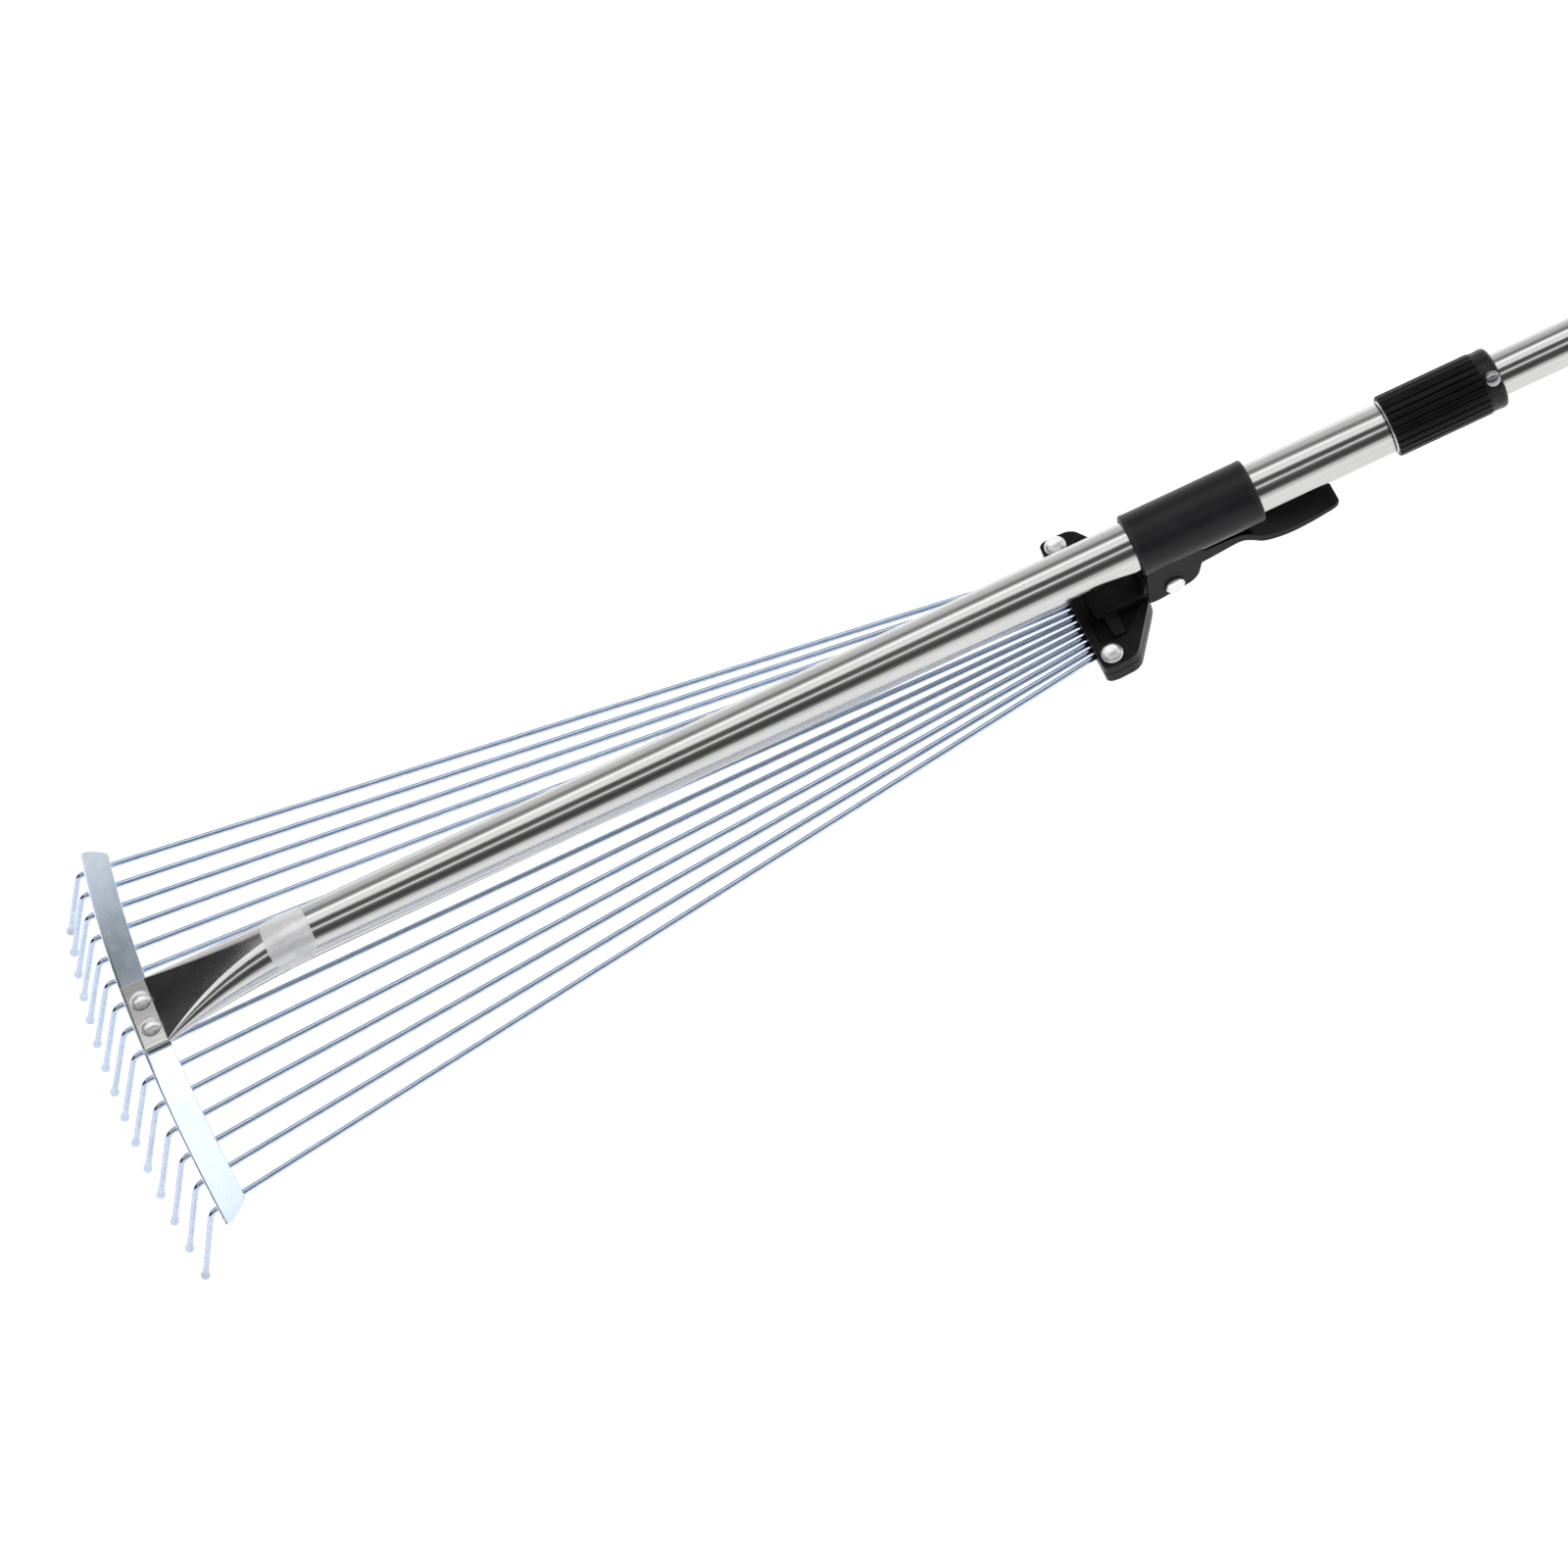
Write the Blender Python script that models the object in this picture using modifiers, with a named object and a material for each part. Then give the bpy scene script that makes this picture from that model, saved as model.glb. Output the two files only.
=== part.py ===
"""Adjustable leaf rake: a wire fan that narrows and widens as its slider moves along a telescopic handle.

Frame: the handle runs along +X, +Y is across the fan, +Z is up, and the lowest tine tip is at z = 0.
Inside the file, lengths are placed from the middle of the crossbar's front edge, at its top face.
"""

import math

import bmesh
import bpy
from mathutils import Matrix, Vector

# Driving dimensions, in metres
TUBE_R = 0.0110          # lower tube, outside
TUBE_WALL = 0.0008
TUBE_Z = 0.0062          # height of the tube's axis over the crossbar's top face
TUBE_END_X = 0.604
TAB_FRONT_X, TAB_REAR_X = 0.0012, 0.0122
TAB_HALF = 0.0010        # half the thickness of the tube pressed flat
FLARE_END_X = 0.087      # where the flattened end is fully round again
GAP = 0.0003

LABEL_AT = (0.0742, math.radians(112))   # along the tube, and round it from +Y
LABEL_HALF_X, LABEL_HALF_TURN = 0.0100, math.radians(84)

BAR_HALF = 0.0972        # half the crossbar's width
BAR_SLANT = 0.0075       # how much shorter its rear edge is at each end
BAR_DEPTH = 0.0125
BAR_SHEET = 0.0010
BAR_PLAN_R = 1.174       # its gentle bow, seen from above
BAR_DROP = 1.53          # its arch: height lost is BAR_DROP * y * y
WEB_MID, WEB_END = 0.0145, 0.0215   # how far down the front web reaches, at the middle and the ends

TINES = 15
TINE_R = 0.0013
BALL_R = 0.0020
SLOT_PITCH = 0.0126
PIVOT_PITCH = 0.0032
PIVOT_X, PIVOT_Z = 0.434, -0.0205
SLOT_DROP = 0.0038       # tine centre under the crossbar's top face
TINE_REACH = 0.4543      # pivot to ball, measured along the straight part
HOOK_DEPTH = 0.0389
HOOK_BEND_R = 0.005
HOOK_LEAN = math.radians(22)
PIN_R, PIN_LENGTH = 0.0008, 0.0034
SLIDE_TRAVEL = 0.200

COLLAR_R, COLLAR_FRONT_X, COLLAR_REAR_X = 0.0137, 0.4535, 0.5090
PLATE_TOP_Z, PLATE_BOTTOM_Z = -0.0156, -0.0262
LEVER_PIN = (0.4646, -0.0140)
LEVER_PIN_R = 0.0022
CHEEK_OUT, CHEEK_IN = 0.0126, 0.0090
RIVET_AT = (0.4285, 0.0298)

SLEEVE_R, SLEEVE_FRONT_X, SLEEVE_RIB_END_X, SLEEVE_REAR_X = 0.0134, 0.5700, 0.6125, 0.6198
UPPER_R, UPPER_WALL = 0.0092, 0.0008
UPPER_FRONT_X, UPPER_REAR_X = 0.100, 0.880
GRIP_R, GRIP_FRONT_X, GRIP_REAR_X = 0.0142, 0.765, 0.884
EYE_X, EYE_R, EYE_HOLE_R = 0.8975, 0.0095, 0.0045

for old in list(bpy.data.objects):
    bpy.data.objects.remove(old, do_unlink=True)

rake = bpy.data.collections.new("leaf_rake")
cutters = bpy.data.collections.new("cutters")
bpy.context.scene.collection.children.link(rake)
bpy.context.scene.collection.children.link(cutters)
cutters.hide_render = True


def bar_drop(y):
    """Height of the arched crossbar's top face at y, zero at its middle."""
    return -BAR_DROP * y * y


def bar_front(y):
    """The crossbar's front face, bowed back towards its ends."""
    return y * y / (2 * BAR_PLAN_R)


def bar_web(y):
    """The lower edge of the crossbar's front web."""
    return -(WEB_MID + (WEB_END - WEB_MID) * (y / BAR_HALF) ** 2)


def tine_line(k):
    """Pivot, slot point and unit direction of tine k, counted from the middle one."""
    pivot = Vector((PIVOT_X, k * PIVOT_PITCH, PIVOT_Z))
    y = k * SLOT_PITCH
    slot = Vector((bar_front(y), y, bar_drop(y) - SLOT_DROP))
    return pivot, slot, (slot - pivot).normalized()


# Frame: origin under the middle of the whole rake, at the height of the lowest tip
pivot, slot, along = tine_line((TINES - 1) // 2)
level = Vector((along.x, along.y, 0)).normalized()
LOWEST = (pivot + along * TINE_REACH).z - HOOK_DEPTH * level.dot(along) - BALL_R
pivot, slot, along = tine_line(0)
FRONT_TIP = pivot.x + along.x * TINE_REACH - HOOK_DEPTH * along.z - BALL_R
frame = bpy.data.objects.new("rake_frame", None)
frame.location = (-(FRONT_TIP + EYE_X + EYE_R) / 2, 0, -LOWEST)
rake.objects.link(frame)

MATERIALS = {
    "chromed_tube": ((0.62, 0.62, 0.63), 0.14, 1.0),
    "zinc_sheet": ((0.60, 0.66, 0.74), 0.32, 1.0),
    "zinc_wire": ((0.70, 0.76, 0.84), 0.24, 1.0),
    "rivet_steel": ((0.74, 0.74, 0.75), 0.20, 1.0),
    "black_plastic": ((0.016, 0.016, 0.018), 0.42, 0.0),
    "gloss_plastic": ((0.014, 0.014, 0.016), 0.18, 0.0),
    "grip_rubber": ((0.020, 0.020, 0.021), 0.62, 0.0),
    "label_film": ((0.72, 0.72, 0.74), 0.35, 0.3),
    "nylon": ((0.80, 0.79, 0.74), 0.50, 0.0),
}


def paint(obj, name):
    """Gives the object its own copy of a named look."""
    colour, rough, metal = MATERIALS[name]
    mat = bpy.data.materials.new(f"{obj.name}_{name}")
    mat.use_nodes = True
    shader = mat.node_tree.nodes["Principled BSDF"]
    shader.inputs["Base Color"].default_value = (*colour, 1)
    shader.inputs["Roughness"].default_value = rough
    shader.inputs["Metallic"].default_value = metal
    mat.diffuse_color = (*colour, 1)
    obj.data.materials.clear()
    obj.data.materials.append(mat)


def add(name, mesh, look=None, at=(0, 0, 0), turn=(0, 0, 0)):
    """Puts a mesh or curve in the rake's frame; with no look it is a cutter."""
    obj = bpy.data.objects.new(name, mesh)
    obj.location, obj.rotation_euler = at, turn
    obj.parent = frame
    if look:
        rake.objects.link(obj)
        paint(obj, look)
    else:
        cutters.objects.link(obj)
        obj.hide_render = True
        obj.display_type = "WIRE"
    return obj


def mesh_of(name, bm, smooth=30):
    bmesh.ops.recalc_face_normals(bm, faces=bm.faces)
    mesh = bpy.data.meshes.new(name)
    bm.to_mesh(mesh)
    bm.free()
    mesh.shade_smooth()
    mesh.set_sharp_from_angle(angle=math.radians(smooth))
    return mesh


def block(name, low, high, look=None, round_by=0.0, segments=2):
    """A box between two corners, with rounded edges."""
    bm = bmesh.new()
    bmesh.ops.create_cube(bm, size=1)
    low, high = Vector(low), Vector(high)
    for v in bm.verts:
        v.co = Vector((low[i] if v.co[i] < 0 else high[i] for i in range(3)))
    if round_by:
        bmesh.ops.bevel(bm, geom=bm.edges[:], offset=round_by, segments=segments, affect="EDGES", profile=0.5)
    return add(name, mesh_of(name, bm), look)


def rod(name, start, end, radius, look=None, sides=24):
    """A plain cylinder between two points."""
    start, end = Vector(start), Vector(end)
    bm = bmesh.new()
    bmesh.ops.create_cone(bm, cap_ends=True, segments=sides, radius1=radius, radius2=radius,
                          depth=(end - start).length)
    turn = Vector((0, 0, 1)).rotation_difference(end - start).to_matrix().to_4x4()
    bmesh.ops.transform(bm, matrix=Matrix.Translation((start + end) / 2) @ turn, verts=bm.verts)
    return add(name, mesh_of(name, bm), look)


def turned(name, profile, look, at, turn, steps=32, ring=False):
    """A profile of (radius, height) points, outer side from top to bottom, turned about local Z."""
    mesh = bpy.data.meshes.new(name)
    count = len(profile)
    edges = [(i, i + 1) for i in range(count - 1)] + ([(count - 1, 0)] if ring else [])
    mesh.from_pydata([(r, 0, z) for r, z in profile], edges, [])
    obj = add(name, mesh, look, at, turn)
    screw = obj.modifiers.new("Turn", "SCREW")
    screw.steps = screw.render_steps = steps
    screw.use_merge_vertices, screw.merge_threshold = True, 0.00001
    screw.use_smooth_shade = True
    return obj


def along_x(x, z=TUBE_Z):
    """Place and rotation that lay a turned piece's local Z along +X on the tube's axis."""
    return {"at": (x, 0, z), "turn": (0, math.pi / 2, 0)}


def outline(name, points, thickness, look=None, at=(0, 0, 0), turn=(0, 0, 0)):
    """A flat outline with thickness, welded into a mesh so that it can be cut."""
    curve = bpy.data.curves.new(name, "CURVE")
    curve.dimensions, curve.fill_mode, curve.extrude = "2D", "BOTH", thickness / 2
    spline = curve.splines.new("POLY")
    spline.points.add(len(points) - 1)
    for p, (x, y) in zip(spline.points, points):
        p.co = (x, y, 0, 1)
    spline.use_cyclic_u = True
    return solid_curve(name, curve, look, at, turn)


def solid_curve(name, curve, look=None, at=(0, 0, 0), turn=(0, 0, 0)):
    """Turns a curve's evaluated shape into a mesh object with its caps welded."""
    temp = bpy.data.objects.new(name + "_curve", curve)
    bpy.context.scene.collection.objects.link(temp)
    bpy.context.view_layer.update()
    mesh = bpy.data.meshes.new_from_object(temp.evaluated_get(bpy.context.evaluated_depsgraph_get()))
    bpy.data.objects.remove(temp, do_unlink=True)
    bm = bmesh.new()
    bm.from_mesh(mesh)
    bpy.data.meshes.remove(mesh)
    bmesh.ops.remove_doubles(bm, verts=bm.verts, dist=0.000002)
    return add(name, mesh_of(name, bm), look, at, turn)


def loft(name, rings, look=None, join_ends=False):
    """Skins rings of equal count; the ends are capped, or joined to each other for a hollow body."""
    bm = bmesh.new()
    loops = [[bm.verts.new(p) for p in ring] for ring in rings]
    pairs = list(zip(loops, loops[1:])) + ([(loops[-1], loops[0])] if join_ends else [])
    for a, b in pairs:
        for i in range(len(a)):
            j = (i + 1) % len(a)
            bm.faces.new((a[i], a[j], b[j], b[i]))
    if not join_ends:
        bm.faces.new(loops[0])
        bm.faces.new(loops[-1])
    return add(name, mesh_of(name, bm), look)


def cut(obj, tool, operation="DIFFERENCE"):
    """Applies a Boolean straight away, so later cuts read a plain mesh."""
    mod = obj.modifiers.new(operation.title(), "BOOLEAN")
    mod.operation, mod.object, mod.solver = operation, tool, "EXACT"
    bpy.context.view_layer.update()
    mesh = bpy.data.meshes.new_from_object(obj.evaluated_get(bpy.context.evaluated_depsgraph_get()))
    obj.modifiers.clear()
    old, obj.data = obj.data, mesh
    bpy.data.meshes.remove(old)
    bpy.data.objects.remove(tool, do_unlink=True)
    bm = bmesh.new()
    bm.from_mesh(mesh)
    bmesh.ops.dissolve_limit(bm, angle_limit=math.radians(0.2), verts=bm.verts, edges=bm.edges)
    bmesh.ops.remove_doubles(bm, verts=bm.verts, dist=0.00001)
    bm.to_mesh(mesh)
    bm.free()


def smoothstep(t):
    return t * t * (3 - 2 * t)


# Lower tube: round, with a front end pressed into a flat tab
def tube_point(x, angle, out):
    """A point over the tube's skin. Its girth stays the same from the flat tab to the full circle."""
    t = min(max((x - TAB_REAR_X) / (FLARE_END_X - TAB_REAR_X), 0), 1)
    rise = 1 - (1 - t) ** 2.1
    radius = TAB_HALF + (TUBE_R - TAB_HALF) * rise
    flat = (TUBE_R - radius) * math.pi / 2
    middle = GAP + TAB_HALF + (TUBE_Z - GAP - TAB_HALF) * rise
    return (x, math.copysign(flat, math.cos(angle)) + (radius + out) * math.cos(angle),
            middle + (radius + out) * math.sin(angle))


def tube_section(x, inset, sides=40):
    return [tube_point(x, 2 * math.pi * (i + 0.5) / sides, -inset) for i in range(sides)]


flare = [TAB_REAR_X + (FLARE_END_X - TAB_REAR_X) * i / 14 for i in range(15)]
outer = [tube_section(x, 0) for x in [TAB_FRONT_X, *flare, TUBE_END_X]]
inner = [tube_section(x, TUBE_WALL) for x in [TUBE_END_X, *flare[:3:-1]]]
loft("main_tube", outer + inner, "chromed_tube")

# Crossbar: an arched strip with a front web, one window for each tine
def bar_section(y):
    """Top plate and front web, as one bent sheet."""
    end = max(0.0, abs(y) - (BAR_HALF - BAR_SLANT)) / BAR_SLANT
    deep = BAR_DEPTH - 0.0090 * end ** 1.35
    low = bar_web(y) - bar_drop(y)
    s = BAR_SHEET
    profile = [(deep, 0), (0.0018, 0), (0.0005, -0.0005), (0, -0.0018), (0, low),
               (s, low), (s, -0.0021), (0.0013, -0.0013), (0.0021, -s), (deep, -s)]
    return [(bar_front(y) + x, y, bar_drop(y) + z) for x, z in profile]


ends = [BAR_HALF - BAR_SLANT * (1 - i / 5) for i in range(6)]
stations = [-y for y in reversed(ends)] + [i * 0.00742 for i in range(-11, 12)] + ends
stations = sorted(y for y in stations if abs(y) <= BAR_HALF)
crossbar = loft("crossbar", [bar_section(y) for y in stations], "zinc_sheet")


def swing_error(k):
    """How far a tine, turning in step with the slider, runs outside its straight line through the slot."""
    pivot, slot, _ = tine_line(k)
    wide, long = slot.y - pivot.y, pivot.x - slot.x
    start, stop = math.atan2(wide, long), math.atan2(wide, long - SLIDE_TRAVEL)
    gaps = [(long - SLIDE_TRAVEL * f) * math.tan(start + (stop - start) * f) - wide
            for f in (i / 20 for i in range(21))]
    return max(gaps, key=abs)


def slot_window(k):
    """Low and high corner of the window that tine k moves in."""
    pivot, slot, line = tine_line(k)
    error = swing_error(k)
    side = TINE_R + 0.0004
    sink = line.z / math.hypot(line.x, line.y) * SLIDE_TRAVEL
    low = Vector((slot.x - 0.004, slot.y - side + min(error, 0), slot.z - sink - TINE_R - 0.0006))
    high = Vector((slot.x + 0.0016, slot.y + side + max(error, 0), slot.z + TINE_R + 0.0004))
    return low, high


half = (TINES - 1) // 2
for k in range(-half, half + 1):
    cut(crossbar, block(f"slot_{k + half}", *slot_window(k)))

# Two rivets through the tab and the crossbar
RIVET_Y, RIVET_X = 0.0067, 0.0074
for side, y in (("far", RIVET_Y), ("near", -RIVET_Y)):
    head_z = GAP + 0.0020 + GAP
    foot_z = bar_drop(y) - BAR_SHEET - GAP
    cut(bpy.data.objects["main_tube"], rod("hole", (RIVET_X, y, -0.02), (RIVET_X, y, 0.02), 0.0023))
    cut(crossbar, rod("hole", (RIVET_X, y, -0.02), (RIVET_X, y, 0.02), 0.0023))
    turned(f"bar_rivet_{side}",
           [(0, 0.0025), (0.0018, 0.0022), (0.0035, 0.0013), (0.0045, 0), (0.0020, 0),
            (0.0020, foot_z - head_z), (0.0032, foot_z - head_z), (0.0030, foot_z - head_z - 0.0005),
            (0, foot_z - head_z - 0.0007)],
           "rivet_steel", (RIVET_X, y, head_z), (0, 0, 0), steps=24)

def label_section(i, steps=20):
    """One strip across the label, which narrows towards its two ends round the tube."""
    w = 2 * i / steps - 1
    angle = LABEL_AT[1] + LABEL_HALF_TURN * w
    half_x = LABEL_HALF_X * math.sqrt(1 - 0.94 * abs(w) ** 3)
    along = [LABEL_AT[0] + half_x * (2 * j / 3 - 1) for j in range(4)]
    return ([tube_point(x, angle, GAP) for x in along]
            + [tube_point(x, angle, GAP + 0.0002) for x in reversed(along)])


# A plain label wrapped over the tube, just behind its flattened end
loft("label", [label_section(i) for i in range(21)], "label_film")


# Tines: one wire each, pin end, straight run, hook and ball
def tine_points(k):
    """Centre points and radii of tine k, from the foot of its pin to its ball, about its pivot."""
    pivot, _, line = tine_line(k)
    level = Vector((line.x, line.y, 0)).normalized()
    down = Vector((level.x * line.z, level.y * line.z, -level.dot(line)))
    points = [(Vector((0, 0, -TINE_R - PIN_LENGTH)), PIN_R), (Vector((0, 0, -TINE_R - 0.0004)), PIN_R),
              (Vector((0, 0, -0.0009)), TINE_R * 0.9), (line * 0.0008, TINE_R), (line * 0.2, TINE_R)]
    turn = math.pi / 2 - HOOK_LEAN
    straight = (HOOK_DEPTH - HOOK_BEND_R * (1 - math.cos(turn))) / math.sin(turn)
    start = TINE_REACH - HOOK_BEND_R * math.sin(turn) - straight * math.cos(turn)
    for i in range(7):
        a = turn * i / 6
        points.append((line * (start + HOOK_BEND_R * math.sin(a)) + down * HOOK_BEND_R * (1 - math.cos(a)), TINE_R))
    tip = line * TINE_REACH + down * HOOK_DEPTH
    fall = (tip - points[-1][0]).normalized()
    for step, radius in ((-1.75, 0.62), (-1.2, 0.76), (-0.5, 0.96), (0, 1), (0.5, 0.86), (0.85, 0.52), (1, 0.15)):
        points.append((tip + fall * BALL_R * step, BALL_R * radius))
    return points


for k in range(-half, half + 1):
    name = f"tine_{half - k + 1:02d}"
    curve = bpy.data.curves.new(name, "CURVE")
    curve.dimensions, curve.bevel_depth, curve.bevel_resolution = "3D", 1.0, 2
    curve.use_fill_caps = True
    spline = curve.splines.new("POLY")
    points = tine_points(k)
    spline.points.add(len(points) - 1)
    for p, (co, radius) in zip(spline.points, points):
        p.co, p.radius = (*co, 1), radius
    solid_curve(name, curve, "zinc_wire", tine_line(k)[0])


# Slider: collar, cheeks and the upper half of the tine holder in one moulding
def holder_outline(inset):
    """Seen from above: straight front, short sides, corners cut back towards the collar."""
    right = [(0.4225, 0.0335), (0.4240, 0.0348), (0.4275, 0.0354), (0.4355, 0.0350), (0.4386, 0.0334),
             (0.4498, 0.0170), (0.4530, 0.0120)]
    points = right + [(x, -y) for x, y in reversed(right)]
    centre = Vector((0.4350, 0))
    return [tuple(centre + (Vector(p) - centre) * (1 - inset / 0.030)) for p in points]


def plate(name, z_low, z_high, look=None, inset=0.0):
    return outline(name, holder_outline(inset), z_high - z_low, look, (0, 0, (z_low + z_high) / 2))


SPLIT = PIVOT_Z
slider = turned("slider_body",
                [(COLLAR_R - 0.0006, COLLAR_REAR_X - COLLAR_FRONT_X), (COLLAR_R, COLLAR_REAR_X - COLLAR_FRONT_X - 0.0006),
                 (COLLAR_R, 0.0006), (COLLAR_R - 0.0006, 0), (TUBE_R + GAP, 0),
                 (TUBE_R + GAP, COLLAR_REAR_X - COLLAR_FRONT_X)],
                "black_plastic", steps=48, ring=True, **along_x(COLLAR_FRONT_X))
CHEEK = [(0.4520, -0.0195), (0.4560, -0.0200), (0.4720, -0.0178), (0.4755, -0.0150), (0.4800, -0.0030),
         (0.4800, 0.0010), (0.4545, 0.0010)]
for y in (1, -1):
    cheek = outline("cheek", CHEEK, CHEEK_OUT - CHEEK_IN, None,
                    (0, y * (CHEEK_OUT + CHEEK_IN) / 2, 0), (math.pi / 2, 0, 0))
    cut(slider, cheek, "UNION")
cut(slider, block("web", (0.4505, -0.0120, -0.0200), (0.4550, 0.0120, -0.0060)), "UNION")
cut(slider, plate("upper", SPLIT + 0.00015, PLATE_TOP_Z), "UNION")
cut(slider, block("rib", (0.4290, -0.0122, -0.0180), (0.4540, 0.0122, -0.0126), round_by=0.0012), "UNION")
cut(slider, block("bridge", (0.4322, -0.0232, -0.0170), (0.4382, 0.0232, -0.0138), round_by=0.0008), "UNION")
cut(slider, rod("bore", (0.40, 0, TUBE_Z), (0.55, 0, TUBE_Z), TUBE_R + GAP, sides=48))
for y in (1, -1):
    cut(slider, rod("lobe", (RIVET_AT[0], y * RIVET_AT[1], -0.0190), (RIVET_AT[0], y * RIVET_AT[1], -0.0146), 0.0052),
        "UNION")
cut(slider, block("cam_window", (0.4556, -0.0086, -0.0300), (0.4745, 0.0086, -0.0015)))
cut(slider, rod("pin_hole", (LEVER_PIN[0], -0.02, LEVER_PIN[1]), (LEVER_PIN[0], 0.02, LEVER_PIN[1]), LEVER_PIN_R + GAP))

cover = plate("tine_cover", PLATE_BOTTOM_Z, SPLIT - 0.00015, "black_plastic")


def tine_room(name, z_low, z_high):
    """The wedge that the fan of tines sweeps inside the holder."""
    points = [(0.4200, -0.0282), (0.4200, 0.0282), (0.4362, 0.0243), (0.4362, -0.0243)]
    return outline(name, points, z_high - z_low, None, (0, 0, (z_low + z_high) / 2))


cut(slider, tine_room("room", SPLIT - 0.001, SPLIT + TINE_R + GAP))
cut(cover, tine_room("room", SPLIT - TINE_R - GAP, SPLIT + 0.001))
for k in range(-half, half + 1):
    x, y, z = tine_line(k)[0]
    cut(cover, rod("socket", (x, y, z - TINE_R - PIN_LENGTH - 0.0004), (x, y, z), PIN_R + GAP, sides=12))
for side, y in (("far", RIVET_AT[1]), ("near", -RIVET_AT[1])):
    x = RIVET_AT[0]
    for obj in (slider, cover):
        cut(obj, rod("rivet_hole", (x, y, -0.04), (x, y, 0), 0.0020 + GAP))
    head_z = -0.0146 + GAP
    foot = PLATE_BOTTOM_Z - GAP - head_z
    turned(f"holder_rivet_{side}",
           [(0, 0.0016), (0.0024, 0.0014), (0.0040, 0.0008), (0.0047, 0), (0.0020, 0), (0.0020, foot),
            (0.0034, foot), (0.0030, foot - 0.0007), (0, foot - 0.0008)],
           "rivet_steel", (x, y, head_z), (0, 0, 0), steps=24)

# Lever pin through the cheeks, headed on one side, clipped on the other
turned("lever_pin",
       [(0, 0.0017), (0.0022, 0.0015), (0.0037, 0.0009), (0.0042, 0), (LEVER_PIN_R, 0),
        (LEVER_PIN_R, -0.0268), (0.0018, -0.0272), (0, -0.0272)],
       "rivet_steel", (LEVER_PIN[0], -CHEEK_OUT - GAP, LEVER_PIN[1]), (math.pi / 2, 0, 0), steps=24)
turned("pin_clip", [(0.0040, 0.0009), (0.0040, 0), (LEVER_PIN_R + 0.0001, 0), (LEVER_PIN_R + 0.0001, 0.0009)],
       "rivet_steel", (LEVER_PIN[0], CHEEK_OUT + 0.0012, LEVER_PIN[1]), (math.pi / 2, 0, 0), steps=24, ring=True)


# Cam lever: eccentric disc, arm and a scooped paddle
def lever_section(x, half_w, top, bottom, dish):
    """One ring of the lever: a rounded strip whose middle is dished by `dish`."""
    ring = []
    steps = 6
    for i in range(steps + 1):
        y = half_w * (2 * i / steps - 1)
        ring.append((x, y, top - dish * (1 - (y / half_w) ** 2)))
    for i in range(steps + 1):
        y = half_w * (1 - 2 * i / steps)
        inset = 0.0006 if i in (0, steps) else 0
        ring.append((x, y, bottom + inset - dish * (1 - (y / half_w) ** 2)))
    return ring


LEVER = [(0.4646, 0.0078, -0.0110, -0.0190, 0.0), (0.4760, 0.0078, -0.0082, -0.0160, 0.0),
         (0.4870, 0.0080, -0.0081, -0.0142, 0.0), (0.4965, 0.0084, -0.0081, -0.0126, 0.0002),
         (0.5010, 0.0100, -0.0083, -0.0126, 0.0008), (0.5055, 0.0120, -0.0096, -0.0138, 0.0018),
         (0.5120, 0.0127, -0.0112, -0.0150, 0.0026), (0.5190, 0.0128, -0.0121, -0.0156, 0.0028),
         (0.5270, 0.0128, -0.0120, -0.0150, 0.0026), (0.5335, 0.0126, -0.0115, -0.0142, 0.0020),
         (0.5375, 0.0122, -0.0115, -0.0140, 0.0013), (0.5397, 0.0114, -0.0118, -0.0139, 0.0008),
         (0.5408, 0.0100, -0.0122, -0.0138, 0.0003)]
lever = loft("cam_lever", [lever_section(*s) for s in LEVER], "black_plastic")
CAM_OFFSET = 0.0008
CAM_R = TUBE_Z - TUBE_R - GAP - LEVER_PIN[1] - CAM_OFFSET
cut(lever, rod("cam", (LEVER_PIN[0], -0.0078, LEVER_PIN[1] + CAM_OFFSET),
               (LEVER_PIN[0], 0.0078, LEVER_PIN[1] + CAM_OFFSET), CAM_R, sides=40), "UNION")
cut(lever, rod("pin_hole", (LEVER_PIN[0], -0.02, LEVER_PIN[1]), (LEVER_PIN[0], 0.02, LEVER_PIN[1]), LEVER_PIN_R + GAP))


# Twist-lock sleeve on the end of the lower tube
def ribbed_ring(count, crest, root):
    points = []
    for i in range(count):
        for part, radius in ((0.0, root), (0.22, crest), (0.62, crest), (0.84, root)):
            a = 2 * math.pi * (i + part) / count
            points.append((radius * math.cos(a), radius * math.sin(a)))
    return points


sleeve = outline("lock_sleeve", ribbed_ring(26, SLEEVE_R, SLEEVE_R - 0.0006), SLEEVE_RIB_END_X - SLEEVE_FRONT_X,
                 "black_plastic", ((SLEEVE_FRONT_X + SLEEVE_RIB_END_X) / 2, 0, TUBE_Z), (0, math.pi / 2, 0))
ring = turned("ring", [(0.0112, 0.0078), (0.0124, 0.0074), (0.0131, 0.0062), (0.0132, 0.0050), (0.0129, 0.0020),
                       (0.0131, 0), (0.0090, 0), (0.0090, 0.0078)],
              None, steps=40, ring=True, **along_x(SLEEVE_REAR_X - 0.0078))
cut(sleeve, ring, "UNION")
cut(sleeve, rod("bore", (SLEEVE_FRONT_X - 0.01, 0, TUBE_Z), (TUBE_END_X + GAP, 0, TUBE_Z), TUBE_R + GAP, sides=48))
cut(sleeve, rod("throat", (0.60, 0, TUBE_Z), (0.64, 0, TUBE_Z), UPPER_R + GAP, sides=48))
BUMP = math.radians(125)
turned("sleeve_stud", [(0, 0.0017), (0.0014, 0.0015), (0.0025, 0.0009), (0.0032, 0), (0, 0)], "gloss_plastic",
       (0.6158, (0.0132 + GAP) * math.cos(BUMP), TUBE_Z + (0.0132 + GAP) * math.sin(BUMP)),
       (BUMP - math.pi / 2, 0, 0), steps=20)

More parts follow.
